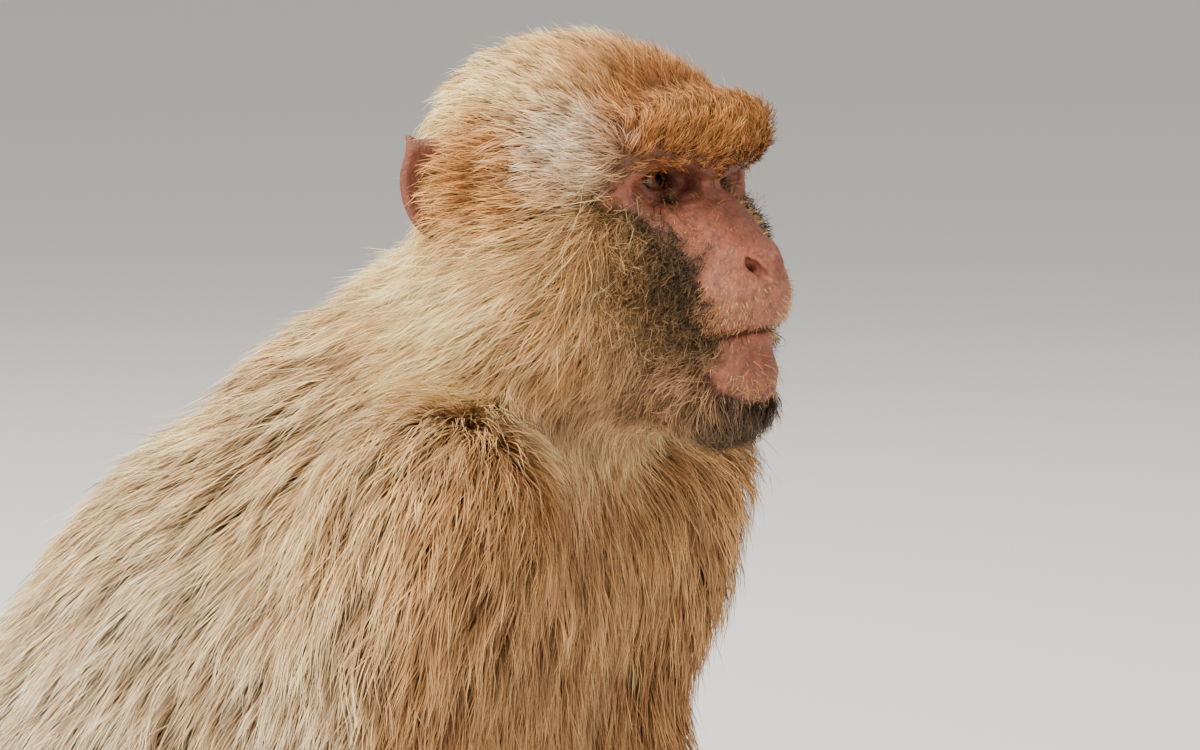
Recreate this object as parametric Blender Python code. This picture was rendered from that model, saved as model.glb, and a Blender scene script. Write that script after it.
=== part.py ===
"""A Barbary macaque (Macaca sylvanus), an adult male, sitting with its hands and feet on the ground.

Life size, in metres. +Z is up, the animal faces -Y, and its left side is at +X. The origin is on the floor,
under the middle of the whole figure.

Each solid gives the animal's outline out to the tips of its coat. A part of the body is a field: a function
that is negative inside the part and positive outside it, and that blends rounded cones and ellipsoids named
after the bones and muscles they stand for. The field is turned into a mesh on a grid, decimated, and then
cut clear of its neighbours and of the floor. Positions are first given from the point midway between the
corneas: x to the animal's left, y to its back, z up from the floor.
"""

import bmesh
import bpy
import numpy as np
import openvdb
from mathutils import Matrix

# Driving dimensions
EYE_HEIGHT = 0.460
EYE_SPACING = 0.036
EYE_RADIUS = 0.0095
MUZZLE_REACH = 0.0455  # from the corneas to the front of the upper lip
CROWN_RISE = 0.062  # from the eyes to the tips of the crown's coat
BEARD_DROP = 0.111  # from the eyes to the tips of the beard
BACK_REACH = 0.380  # from the corneas to the rearmost tips of the back's coat
SEAT_SINK = 0.005  # how far the round rump is pressed flat on the floor
HEAD_TURN = 12  # degrees that the head is turned to the animal's right
HEAD_PIVOT = (0, 0.100)  # the vertical axis that it turns about
PART_GAP = 0.0005  # clearance between neighbouring parts
LIP_TILT = 0.28  # fall of the closed lips per metre towards the corner of the mouth

# How far each side's hand and foot is set back from the even pose
HAND_SETBACK = {1: -0.012, -1: 0.004}
FOOT_SETBACK = {1: 0.010, -1: -0.008}
SIDE_NAMES = {1: "left", -1: "right"}

COAT_GOLD = (0.56, 0.40, 0.24)
COAT_GREY = (0.52, 0.44, 0.34)
COAT_PALE = (0.66, 0.55, 0.40)
FACE_PINK = (0.60, 0.32, 0.26)
EAR_PINK = (0.45, 0.22, 0.16)
PAW_BROWN = (0.25, 0.18, 0.14)
EYE_BROWN = (0.16, 0.08, 0.03)


# Fields ------------------------------------------------------------------------------------------------


def ellipsoid(p, centre, radii):
    """Close to the distance from an ellipsoid whose axes lie along x, y and z."""
    q = (p - np.array(centre)) / np.array(radii)
    reach = np.linalg.norm(q, axis=1)
    slope = np.linalg.norm(q / np.array(radii), axis=1) + 1e-9
    return reach * (reach - 1) / slope


def round_cone(p, start, end, start_radius, end_radius):
    """Distance from a line whose thickness runs from one radius to another."""
    start, end = np.array(start), np.array(end)
    along = end - start
    share = np.clip((p - start) @ along / (along @ along), 0, 1)
    nearest = start + share[:, None] * along
    return np.linalg.norm(p - nearest, axis=1) - (start_radius + share * (end_radius - start_radius))


def limb(p, *joints):
    """Rounded cones through joints, each a point and a radius."""
    cones = [round_cone(p, a, b, ra, rb) for (a, ra), (b, rb) in zip(joints, joints[1:])]
    return np.minimum.reduce(cones)


def blended(fields, width):
    """The union of the fields, with a fillet about as wide as width where they meet."""
    total = fields[0]
    for field in fields[1:]:
        overlap = np.clip(width - np.abs(total - field), 0, None) / width
        total = np.minimum(total, field) - overlap**2 * width / 4
    return total


def carved(field, hollow, width):
    """The field less the hollow, with a rounded rim."""
    return -blended([-field, hollow], width)


def both_sides(shape, p, *measures):
    """A shape and its mirror image across the animal's midline."""
    mirrored = np.abs(p[:, 0])
    return shape(np.column_stack([mirrored, p[:, 1:]]), *measures)


# Meshes ------------------------------------------------------------------------------------------------


def material(name, colour, roughness):
    made = bpy.data.materials.new(name)
    made.use_nodes = True
    shader = made.node_tree.nodes["Principled BSDF"]
    shader.inputs["Base Color"].default_value = (*colour, 1)
    shader.inputs["Roughness"].default_value = roughness
    shader.inputs["Metallic"].default_value = 0
    return made


def link(name, mesh, look):
    mesh.materials.append(look)
    made = bpy.data.objects.new(name, mesh)
    bpy.context.scene.collection.objects.link(made)
    return made


def solid(name, field, low, high, cell, triangles, look):
    """A mesh object of the field's inside, found on a grid of cells and then decimated."""
    low, high = np.array(low), np.array(high)
    counts = np.ceil((high - low) / cell).astype(int) + 1
    axes = [low[i] + cell * np.arange(counts[i]) for i in range(3)]
    points = np.stack(np.meshgrid(*axes, indexing="ij"), axis=-1).reshape(-1, 3)
    grid = openvdb.FloatGrid(1.0)
    grid.copyFromArray(field(points).reshape(counts).astype(np.float32))
    corners, quads = grid.convertToQuads(isovalue=0.0)
    mesh = bpy.data.meshes.new(name)
    mesh.from_pydata((corners * cell + low).tolist(), [], quads.tolist())
    tidy(mesh)
    made = link(name, mesh, look)
    decimate = made.modifiers.new("Decimate", "DECIMATE")
    decimate.ratio = min(1.0, triangles / (2 * len(mesh.polygons)))
    decimate.use_collapse_triangulate = True
    apply_modifiers(made)
    made.data.shade_smooth()
    return made


def tidy(mesh):
    """Faces turned outwards, and only the largest piece kept."""
    bm = bmesh.new()
    bm.from_mesh(mesh)
    bmesh.ops.recalc_face_normals(bm, faces=bm.faces)
    unseen = set(bm.verts)
    pieces = []
    while unseen:
        front = [unseen.pop()]
        piece = list(front)
        while front:
            neighbours = {e.other_vert(v) for v in front for e in v.link_edges} & unseen
            unseen -= neighbours
            front = list(neighbours)
            piece += front
        pieces.append(piece)
    pieces.sort(key=len)
    bmesh.ops.delete(bm, geom=[v for piece in pieces[:-1] for v in piece], context="VERTS")
    if bm.calc_volume(signed=True) < 0:
        bmesh.ops.reverse_faces(bm, faces=bm.faces)
    bm.to_mesh(mesh)
    bm.free()


def apply_modifiers(obj):
    """Replaces the object's mesh by what its modifiers make of it."""
    graph = bpy.context.evaluated_depsgraph_get()
    graph.update()
    finished = bpy.data.meshes.new_from_object(obj.evaluated_get(graph))
    obj.modifiers.clear()
    obj.data = finished


def grown_copy(obj):
    """A hidden copy of the object that is larger by the gap between parts, to cut its neighbours with."""
    cutter = bpy.data.objects.new(obj.name + "_cutter", obj.data.copy())
    bpy.context.scene.collection.objects.link(cutter)
    grow = cutter.modifiers.new("Grow", "DISPLACE")
    grow.strength = PART_GAP
    grow.mid_level = 0
    hide(cutter)
    return cutter


def block(name, low, high):
    """A hidden box between two corners."""
    bm = bmesh.new()
    bmesh.ops.create_cube(bm, size=1)
    size = np.array(high) - np.array(low)
    bmesh.ops.transform(bm, matrix=Matrix.Diagonal((*size, 1)), verts=bm.verts)
    bmesh.ops.translate(bm, vec=(np.array(high) + np.array(low)) / 2, verts=bm.verts)
    mesh = bpy.data.meshes.new(name)
    bm.to_mesh(mesh)
    bm.free()
    made = bpy.data.objects.new(name, mesh)
    bpy.context.scene.collection.objects.link(made)
    hide(made)
    return made


def hide(obj):
    obj.hide_render = True
    obj.display_type = "WIRE"


def cut(obj, cutter, operation="DIFFERENCE"):
    boolean = obj.modifiers.new("Cut by " + cutter.name, "BOOLEAN")
    boolean.operation = operation
    boolean.object = cutter
    apply_modifiers(obj)
    tidy(obj.data)


# The head ----------------------------------------------------------------------------------------------


def from_eyes(x, y, z):
    """A point given from the midpoint between the corneas."""
    return (x, y, EYE_HEIGHT + z)


EYE_CENTRE = from_eyes(EYE_SPACING / 2, EYE_RADIUS, 0)


def bare_face(p):
    """The muzzle, nose and cheeks, which have no coat to speak of."""
    ridge = limb(
        p,
        (from_eyes(0, 0.003, -0.008), 0.011),
        (from_eyes(0, -0.022, -0.022), 0.0085),
        (from_eyes(0, -MUZZLE_REACH + 0.0085, -0.036), 0.0085),
    )
    lips = ellipsoid(p, from_eyes(0, 0.0335 - MUZZLE_REACH, -0.046), (0.0255, 0.0335, 0.022))
    chin = ellipsoid(p, from_eyes(0, 0.036 - MUZZLE_REACH, -0.074), (0.022, 0.030, 0.020))
    upper_jaw = both_sides(ellipsoid, p, from_eyes(0.017, 0.004, -0.030), (0.020, 0.026, 0.022))
    nose_flank = both_sides(
        round_cone, p, from_eyes(0.009, -0.0085, -0.010), from_eyes(0.009, -0.0305, -0.031), 0.0055, 0.006
    )
    muzzle_side = both_sides(
        round_cone, p, from_eyes(0.019, -0.0025, -0.026), from_eyes(0.011, -0.0285, -0.044), 0.013, 0.0095
    )
    cheek = both_sides(
        round_cone, p, from_eyes(0.020, 0.0075, -0.050), from_eyes(0.013, -0.0175, -0.060), 0.011, 0.0075
    )
    cheekbone = both_sides(ellipsoid, p, from_eyes(0.034, 0.024, -0.012), (0.018, 0.026, 0.012))
    return blended([ridge, lips, chin, upper_jaw, nose_flank, muzzle_side, cheek, cheekbone], 0.009)


def brow_coat(p):
    """The thick ridge of hair over the eyes."""
    mirrored = np.column_stack([np.abs(p[:, 0]), p[:, 1:]])
    return limb(
        mirrored,
        (from_eyes(0, -0.0125, 0.0205), 0.0180),
        (from_eyes(0.020, -0.0085, 0.0205), 0.0180),
        (from_eyes(0.040, 0.009, 0.0165), 0.013),
    )


def head_field(p):
    crown = ellipsoid(p, from_eyes(0, 0.062, 0.008), (0.060, 0.072, CROWN_RISE - 0.008))
    temples = both_sides(ellipsoid, p, from_eyes(0.034, 0.052, 0.0), (0.030, 0.044, 0.036))
    ruff = both_sides(ellipsoid, p, from_eyes(0.038, 0.062, -0.050), (0.040, 0.054, 0.048))
    beard = ellipsoid(p, from_eyes(0, 0.031 - MUZZLE_REACH, -0.086), (0.027, 0.028, BEARD_DROP - 0.086))
    throat = round_cone(p, from_eyes(0, 0.000, -0.076), from_eyes(0, 0.060, -0.070), 0.026, 0.046)
    coat = blended([crown, temples, ruff, throat], 0.024)
    coat = blended([coat, beard, brow_coat(p)], 0.012)
    whole = blended([coat, bare_face(p)], 0.007)
    socket = both_sides(ellipsoid, p, from_eyes(0.0195, -0.006, -0.0005), (0.0145, 0.0125, 0.0085))
    return carved(whole, socket, 0.004)


def ear_field(side):
    """An upright leaf of skin that stands off the side of the head, hollow towards the front and outside."""
    centre = np.array(from_eyes(side * 0.0660, 0.0800, -0.004))
    turn = np.array(Matrix.Rotation(side * np.radians(-38), 3, "Z") @ Matrix.Rotation(np.radians(-12), 3, "X"))
    pocket = np.array((side * 0.0048, -0.001, 0.001))

    def field(p):
        q = (p - centre) @ turn
        leaf = ellipsoid(q, (0, 0, 0), (0.0062, 0.0145, 0.0215))
        tip = round_cone(q, (0, 0.003, 0.012), (0, 0.006, 0.0225), 0.004, 0.0015)
        root = round_cone(q, (-side * 0.001, -0.008, -0.004), (-side * 0.010, -0.010, -0.002), 0.009, 0.010)
        concha = ellipsoid(q, pocket, (0.0055, 0.0110, 0.0165))
        return carved(blended([leaf, tip, root], 0.004), concha, 0.0015)

    return field, centre


# The neck and trunk --------------------------------------------------------------------------------------


def neck_field(p):
    return limb(p, ((-0.004, 0.087, 0.386), 0.064), ((0, 0.120, 0.360), 0.074), ((0, 0.158, 0.322), 0.087))


def trunk_field(p):
    chest = ellipsoid(p, (0, 0.140, 0.316), (0.108, 0.096, 0.085))
    ribs = ellipsoid(p, (0, 0.189, 0.262), (0.134, 0.130, 0.100))
    belly = ellipsoid(p, (0, 0.224, 0.195), (0.144, 0.146, 0.107))
    rump_rise = 0.125
    rump = ellipsoid(p, (0, BACK_REACH - 0.140, rump_rise), (0.148, 0.140, rump_rise + SEAT_SINK))
    return blended([chest, ribs, belly, rump], 0.030)


# The limbs -----------------------------------------------------------------------------------------------


def on_side(side, x, y, z, setback=0.0):
    return np.array((side * x, y + setback, z))


def arm_joints(side):
    back = HAND_SETBACK[side]
    return {
        "shoulder": on_side(side, 0.094, 0.080, 0.322),
        "biceps": on_side(side, 0.103, 0.092, 0.276),
        "elbow": on_side(side, 0.105, 0.106, 0.216),
        "forearm": on_side(side, 0.104, 0.094, 0.150, back / 2),
        "wrist": on_side(side, 0.066, 0.046, 0.062, back),
        "hand": on_side(side, 0.060, 0.026, 0.0, back),
    }


def leg_joints(side):
    back = FOOT_SETBACK[side]
    return {
        "hip": on_side(side, 0.090, 0.250, 0.094),
        "knee": on_side(side, 0.184, 0.146, 0.142, back / 2),
        "calf": on_side(side, 0.174, 0.130, 0.096, back),
        "ankle": on_side(side, 0.152, 0.086, 0.046, back),
        "foot": on_side(side, 0.150, 0.070, 0.0, back),
    }


def upper_arm_field(side):
    at = arm_joints(side)
    return lambda p: limb(p, (at["shoulder"], 0.057), (at["biceps"], 0.055), (at["elbow"], 0.042))


def forearm_field(side):
    at = arm_joints(side)
    return lambda p: limb(p, (at["elbow"], 0.040), (at["forearm"], 0.036), (at["wrist"], 0.022))


def thigh_field(side):
    at = leg_joints(side)
    return lambda p: limb(p, (at["hip"], 0.082), (at["knee"], 0.047))


def shank_field(side):
    at = leg_joints(side)
    return lambda p: limb(p, (at["knee"], 0.044), (at["calf"], 0.039), (at["ankle"], 0.024))


def digit(q, base, tip, base_radius, arch):
    """A finger or toe that arches over its middle joint and comes down to its tip."""
    base, tip = np.array(base), np.array(tip)
    middle = (base + tip) / 2 + np.array((0, 0, arch))
    tip_radius = 0.72 * base_radius
    middle_radius = (base_radius + tip_radius) / 2
    return limb(q, (base, base_radius), (middle, middle_radius), (tip, tip_radius))


def paw_frame(origin, side, toe_out):
    """Turns points into a paw's own axes: x outwards, y forwards and z up, from a point on the floor."""
    angle = side * np.radians(toe_out)
    forward = np.array((np.sin(angle), -np.cos(angle), 0))
    outward = np.array((side * np.cos(angle), side * np.sin(angle), 0))
    axes = np.column_stack([outward, forward, (0, 0, 1)])
    return lambda p: (p - origin) @ axes


HAND = {
    "toe_out": 6,
    "bones": (((0, -0.020, 0.056), 0.020), ((0, 0.006, 0.030), 0.018), ((0, 0.030, 0.016), 0.016)),
    "pad": ((0, 0.030, 0.0115), (0.025, 0.030, 0.0135)),
    "digit_start": 0.050,
    "digit_lengths": (0.038, 0.044, 0.042, 0.034),
    "digit_radius": 0.0075,
    "thumb": ((-0.022, 0.014, 0.010), (-0.037, 0.040, 0.0055), 0.0080),
}
FOOT = {
    "toe_out": 12,
    "bones": (
        ((0, -0.030, 0.016), 0.0175),
        ((0, -0.012, 0.044), 0.023),
        ((0, 0.022, 0.026), 0.019),
        ((0, 0.052, 0.016), 0.016),
    ),
    "pad": ((0, 0.040, 0.0115), (0.025, 0.046, 0.0135)),
    "digit_start": 0.076,
    "digit_lengths": (0.034, 0.038, 0.036, 0.030),
    "digit_radius": 0.0080,
    "thumb": ((-0.021, 0.026, 0.011), (-0.043, 0.066, 0.0070), 0.0100),
}
DIGIT_PITCH = 0.0112
DIGIT_SPREAD = 1.45


def paw_field(plan, origin, side):
    """A hand or foot laid flat on the floor, with four digits and an opposed thumb or big toe."""
    local = paw_frame(origin, side, plan["toe_out"])

    def field(p):
        q = local(p)
        palm = [limb(q, *[(np.array(at), radius) for at, radius in plan["bones"]])]
        palm.append(ellipsoid(q, *plan["pad"]))
        shape = blended(palm, 0.010)
        for number, length in enumerate(plan["digit_lengths"]):
            across = DIGIT_PITCH * (number - 1.5)
            base = (across, plan["digit_start"], 0.0105)
            tip = (across * DIGIT_SPREAD, plan["digit_start"] + length, 0.0048)
            shape = blended([shape, digit(q, base, tip, plan["digit_radius"], 0.0045)], 0.0035)
        thumb_base, thumb_tip, thumb_radius = plan["thumb"]
        return blended([shape, digit(q, thumb_base, thumb_tip, thumb_radius, 0.002)], 0.005)

    return field


def around(points, reach):
    """The corners of a box that holds the points and a reach round each."""
    points = np.array(points)
    return points.min(axis=0) - reach, points.max(axis=0) + reach


# Assembly ------------------------------------------------------------------------------------------------


def clear_scene():
    for obj in list(bpy.data.objects):
        bpy.data.objects.remove(obj)


def make_eye(name, side, look):
    bm = bmesh.new()
    bmesh.ops.create_uvsphere(bm, u_segments=14, v_segments=8, radius=EYE_RADIUS)
    bmesh.ops.translate(bm, vec=(side * EYE_CENTRE[0], EYE_CENTRE[1], EYE_CENTRE[2]), verts=bm.verts)
    mesh = bpy.data.meshes.new(name)
    bm.to_mesh(mesh)
    bm.free()
    mesh.shade_smooth()
    return link(name, mesh, look)


def make_head_parts(looks):
    parts = {}
    parts["head"] = solid(
        "head", head_field, from_eyes(-0.09, -0.06, -0.125), from_eyes(0.09, 0.15, 0.08), 0.0025, 2050, looks["face"]
    )
    for side, word in SIDE_NAMES.items():
        field, centre = ear_field(side)
        low, high = around([centre], 0.034)
        parts["ear_" + word] = solid("ear_" + word, field, low, high, 0.0010, 260, looks["ear"])
        parts["eye_" + word] = make_eye("eye_" + word, side, looks["eye"])
    return parts


def split_jaw(parts, look):
    """Parts the lower jaw from the head along the closed lips and straight down behind the chin."""
    lip_height = -0.0565
    corner_back = 0.012
    low = from_eyes(-0.1, -0.1, -0.2)
    high = from_eyes(0.1, corner_back, lip_height)
    head = parts["head"]
    jaw = link("lower_jaw", head.data.copy(), look)
    for obj, operation, grow in ((jaw, "INTERSECT", 0.0), (head, "DIFFERENCE", PART_GAP)):
        cutter = block(obj.name + "_jaw_block", low, np.array(high) + grow * np.array((0, 1, 1)))
        for vertex in cutter.data.vertices:
            if vertex.co.z > EYE_HEIGHT - 0.15:
                vertex.co.z -= LIP_TILT * (vertex.co.y + MUZZLE_REACH)
        cut(obj, cutter, operation)
    parts["lower_jaw"] = jaw


def turn_head(parts):
    """Turns the head's finished parts about the neck."""
    pivot = Matrix.Translation((*HEAD_PIVOT, 0))
    turn = pivot @ Matrix.Rotation(np.radians(-HEAD_TURN), 4, "Z") @ pivot.inverted()
    for obj in parts.values():
        obj.data.transform(turn)


def make_limbs(side, looks):
    word = SIDE_NAMES[side]
    arm, leg = arm_joints(side), leg_joints(side)
    plans = (
        ("upper_arm", upper_arm_field(side), ("shoulder", "elbow"), arm, 0.065, 0.004, 190, "coat"),
        ("forearm", forearm_field(side), ("elbow", "wrist"), arm, 0.048, 0.003, 190, "coat"),
        ("hand", paw_field(HAND, arm["hand"], side), ("wrist", "hand"), arm, 0.115, 0.0018, 480, "paw"),
        ("thigh", thigh_field(side), ("hip", "knee"), leg, 0.090, 0.005, 190, "coat"),
        ("shank", shank_field(side), ("knee", "ankle"), leg, 0.052, 0.003, 200, "coat"),
        ("foot", paw_field(FOOT, leg["foot"], side), ("ankle", "foot"), leg, 0.135, 0.0018, 520, "paw"),
    )
    parts = {}
    for kind, field, ends, joints, reach, cell, triangles, look in plans:
        low, high = around([joints[end] for end in ends], reach)
        name = f"{kind}_{word}"
        parts[name] = solid(name, field, low, high, cell, triangles, looks[look])
    return parts


# Each part makes room for the parts named after it. The trunk stays whole, and so does each joint's upper bone.
MEETINGS = (
    ("neck", ("trunk",)),
    ("head", ("neck", "trunk", "eye_left", "eye_right")),
    ("lower_jaw", ("neck", "trunk")),
)
SIDE_MEETINGS = (
    ("ear", ("head",)),
    ("upper_arm", ("trunk", "neck", "head")),
    ("thigh", ("trunk", "upper_arm")),
    ("forearm", ("trunk", "upper_arm", "thigh")),
    ("shank", ("trunk", "thigh", "upper_arm", "forearm")),
    ("hand", ("forearm",)),
    ("foot", ("shank",)),
)


def separate(parts):
    meetings = list(MEETINGS)
    for word in SIDE_NAMES.values():
        for first, others in SIDE_MEETINGS:
            sided = [other if other in parts else f"{other}_{word}" for other in others]
            meetings.append((f"{first}_{word}", sided))
    whole = {name: grown_copy(parts[name]) for _, others in meetings for name in others}
    for first, others in meetings:
        for other in others:
            cut(parts[first], whole[other])


def stand_on_floor(parts):
    """Cuts what reaches below the floor, so that the seat, hands and feet are flat at one level."""
    floor = block("floor_block", (-1, -1, -1), (1, 1, 0))
    for obj in parts.values():
        if min(v.co.z for v in obj.data.vertices) < 0:
            cut(obj, floor)


def centre_figure(parts):
    """Moves every part so that the origin is under the middle of the figure."""
    points = np.concatenate([[v.co for v in obj.data.vertices] for obj in parts.values()])
    middle = (points.min(axis=0) + points.max(axis=0)) / 2
    for obj in parts.values():
        obj.data.transform(Matrix.Translation((-middle[0], -middle[1], 0)))


def main():
    clear_scene()
    looks = {
        "face": material("bare_face", FACE_PINK, 0.55),
        "jaw": material("chin", FACE_PINK, 0.6),
        "ear": material("ear_skin", EAR_PINK, 0.6),
        "eye": material("iris", EYE_BROWN, 0.1),
        "coat": material("limb_coat", COAT_GOLD, 0.85),
        "neck": material("neck_coat", COAT_PALE, 0.85),
        "trunk": material("trunk_coat", COAT_GREY, 0.85),
        "paw": material("paw_skin", PAW_BROWN, 0.6),
    }
    parts = make_head_parts(looks)
    split_jaw(parts, looks["jaw"])
    turn_head(parts)
    parts["neck"] = solid("neck", neck_field, (-0.1, -0.02, 0.22), (0.1, 0.26, 0.47), 0.004, 300, looks["neck"])
    parts["trunk"] = solid(
        "trunk", trunk_field, (-0.17, 0.02, -0.02), (0.17, 0.40, 0.42), 0.005, 900, looks["trunk"]
    )
    for side in SIDE_NAMES:
        parts.update(make_limbs(side, looks))
    separate(parts)
    stand_on_floor(parts)
    centre_figure(parts)
    for obj in parts.values():
        obj.data.set_sharp_from_angle(angle=np.radians(50))


main()
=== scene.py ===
"""A sitting Barbary macaque: its skin, eyes, ears, nails and coat, with the camera, floor and lights.

The skin is found by moving the solids' outline inwards by the coat's depth. The coat is grown on it in locks:
each lock follows a guide that leaves the skin, lies along the comb of its part of the body and ends at the
solids' outline. Places on the head are given in millimetres from the midpoint between the eyeballs, as
(left, forward, up); everything else is in metres in the solids' own frame.
"""

import math
from collections import namedtuple

import bpy
import numpy as np
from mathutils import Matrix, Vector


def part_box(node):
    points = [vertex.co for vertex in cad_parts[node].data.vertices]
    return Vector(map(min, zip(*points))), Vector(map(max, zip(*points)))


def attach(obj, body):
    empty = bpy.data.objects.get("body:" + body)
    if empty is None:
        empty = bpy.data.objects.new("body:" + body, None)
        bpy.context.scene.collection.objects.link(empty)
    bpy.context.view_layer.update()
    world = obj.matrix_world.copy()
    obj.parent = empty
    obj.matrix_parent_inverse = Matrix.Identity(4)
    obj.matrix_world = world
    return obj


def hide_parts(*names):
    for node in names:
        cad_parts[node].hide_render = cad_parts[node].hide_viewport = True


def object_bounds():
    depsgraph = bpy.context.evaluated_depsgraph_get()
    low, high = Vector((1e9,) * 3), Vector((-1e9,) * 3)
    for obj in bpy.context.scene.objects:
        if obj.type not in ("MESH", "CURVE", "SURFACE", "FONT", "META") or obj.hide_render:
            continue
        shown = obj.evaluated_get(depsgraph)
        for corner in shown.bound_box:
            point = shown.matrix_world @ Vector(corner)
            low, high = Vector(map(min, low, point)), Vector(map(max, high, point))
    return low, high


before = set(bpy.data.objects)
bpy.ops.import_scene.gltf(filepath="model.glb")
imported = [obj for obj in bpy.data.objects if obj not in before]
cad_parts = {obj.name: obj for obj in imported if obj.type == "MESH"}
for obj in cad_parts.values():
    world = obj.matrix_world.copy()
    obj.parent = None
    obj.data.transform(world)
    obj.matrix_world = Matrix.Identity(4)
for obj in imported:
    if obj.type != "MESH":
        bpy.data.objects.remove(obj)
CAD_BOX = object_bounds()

import openvdb
from mathutils import Matrix, Vector

SEED = 11
MM = 0.001
SIDES = {1: "left", -1: "right"}
PAWS = [f"{kind}_{word}" for kind in ("hand", "foot") for word in SIDES.values()]
LIMBS = [f"{kind}_{word}" for kind in ("upper_arm", "forearm", "thigh", "shank") for word in SIDES.values()]
HEAD_PARTS = ["head", "lower_jaw"]
FLESH = HEAD_PARTS + ["neck", "trunk"] + LIMBS + PAWS

# The grids' cells in metres, and how softly fields are eased, in cells. The mantle is the coat that fills the
# hollow between neck and shoulders.
BODY_CELL, HEAD_CELL, PAW_CELL, EAR_CELL = 0.0034, 0.0010, 0.0018, 0.0009
BODY_EASE, MANTLE_EASE, HEAD_EASE = 3.0, 8.0, 1.6
GAP = 0.0006  # how much the solids grow, to close the hairline gaps between them
BAND = 0.040  # how far from the surface distances are known
TRACE = 1e-9  # keeps a share or a chance above nought
FLOOR_GAP = 0.0004  # how low hair may reach


def srgb(red, green, blue):
    """A screen colour, 0 to 255, as linear light."""
    values = np.array((red, green, blue)) / 255
    return np.where(values < 0.04045, values / 12.92, ((values + 0.055) / 1.055) ** 2.4)


def unit(vectors):
    return vectors / (np.linalg.norm(vectors, axis=-1, keepdims=True) + 1e-12)


def crossed(first, second):
    """All pairs of a value of the first row and one of the second, as two rows."""
    return (row.ravel() for row in np.meshgrid(first, second, indexing="ij"))


def ring_quads(rings, turns):
    """The indices of corners in closed rings, the index after each, and the quads between the rings."""
    index = np.arange(rings * turns).reshape(rings, turns)
    after = np.roll(index, -1, axis=1)
    return index, after, np.stack([index[:-1], index[1:], after[1:], after[:-1]], axis=-1).reshape(-1, 4)


def mixed(colour, tint, amount):
    """The colour, gone over to the tint as far as amount says, 0 to 1, in each row."""
    return colour + np.clip(amount, 0, 1)[:, None] * (tint - colour)


# The frame: the head's own axes, and a bone for each part --------------------


def box_centre(node):
    low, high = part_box(node)
    return np.array((low + high) / 2)


EYES = {side: box_centre("eye_" + word) for side, word in SIDES.items()}
HEAD_ORIGIN = (EYES[1] + EYES[-1]) / 2
LEFTWARD = (EYES[1] - EYES[-1]) / np.linalg.norm(EYES[1] - EYES[-1])
FORWARD = np.cross(LEFTWARD, (0, 0, 1))
HEAD_AXES = np.column_stack([LEFTWARD, FORWARD, (0, 0, 1)])
EYE_OFFSET = np.linalg.norm(EYES[1] - EYES[-1]) / 2 / MM
EYE_RADIUS = (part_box("eye_left")[1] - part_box("eye_left")[0]).z / 2 / MM


def to_head(points):
    """Millimetres from the midpoint between the eyeballs: left, forward, up."""
    return (points - HEAD_ORIGIN) @ HEAD_AXES / MM


def from_head(places):
    return np.asarray(places) * MM @ HEAD_AXES.T + HEAD_ORIGIN


def fetched(items, quality, width, kind=np.float64):
    """One quality of all of a mesh's items, a row for each item."""
    values = np.empty(len(items) * width, kind)
    items.foreach_get(quality, values)
    return values.reshape(-1, width)


def node_mesh(node):
    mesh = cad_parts[node].data
    mesh.calc_loop_triangles()
    triangles = fetched(mesh.loop_triangles, "vertices", 3, np.int32)
    return fetched(mesh.vertices, "co", 3, np.float32), triangles.astype(np.uint32)


Bone = namedtuple("Bone", "start end radius")


def bone_of(node):
    """The long axis of a part, from its upper or rear end to its lower or front one."""
    corners = node_mesh(node)[0].astype(float)
    centre = corners.mean(axis=0)
    axis = np.linalg.svd(corners - centre, full_matrices=False)[2][0]
    leading = (0, -1, 0.3) if node.startswith("thigh") else (0, 0.2, -1)
    axis *= np.sign(axis @ np.array(leading))
    along = (corners - centre) @ axis
    inset = 0.15 * np.ptp(along)
    start, end = centre + axis * (along.min() + inset), centre + axis * (along.max() - inset)
    radius = np.median(np.linalg.norm(corners - centre - along[:, None] * axis, axis=1))
    return Bone(start, end, radius)


BONES = {node: bone_of(node) for node in ["neck", "trunk"] + LIMBS + PAWS}
SHOULDER_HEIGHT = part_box("upper_arm_left")[1].z


def bone_distance(points, bone):
    along = bone.end - bone.start
    share = np.clip((points - bone.start) @ along / (along @ along), 0, 1)
    return np.linalg.norm(points - bone.start - share[:, None] * along, axis=1) - bone.radius


def paw_distance(points):
    return np.min([bone_distance(points, BONES[paw]) for paw in PAWS], axis=0)


# Shapes as fields --------------------

Grid = namedtuple("Grid", "low cell counts")


def grid_around(low, high, cell, margin):
    low, high = np.array(low, float) - margin, np.array(high, float) + margin
    return Grid(low, cell, tuple(np.ceil((high - low) / cell).astype(int) + 1))


def grid_points(grid):
    axes = [grid.low[i] + grid.cell * np.arange(grid.counts[i]) for i in range(3)]
    return np.stack(np.meshgrid(*axes, indexing="ij"), axis=-1).reshape(-1, 3)


def distances(corners, triangles, grid):
    """The distance from a closed mesh at each point of the grid, negative inside."""
    voxels = BAND / grid.cell
    level_set = openvdb.FloatGrid.createLevelSetFromPolygons(
        ((corners - grid.low) / grid.cell).astype(np.float32), triangles=triangles, halfWidth=voxels
    )
    values = np.zeros(grid.counts, np.float32)
    level_set.copyToArray(values)
    return values * grid.cell


def surface(values, grid, adaptivity=0.0):
    """The mesh where a field on the grid is zero: its corners, triangles and quads."""
    volume = openvdb.FloatGrid(float(BAND / grid.cell))
    shaped = np.ascontiguousarray(values / grid.cell, dtype=np.float32).reshape(grid.counts)
    volume.copyFromArray(shaped)
    corners, triangles, quads = volume.convertToPolygons(isovalue=0.0, adaptivity=adaptivity)
    return corners * grid.cell + grid.low, triangles[:, ::-1], quads[:, ::-1]


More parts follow.
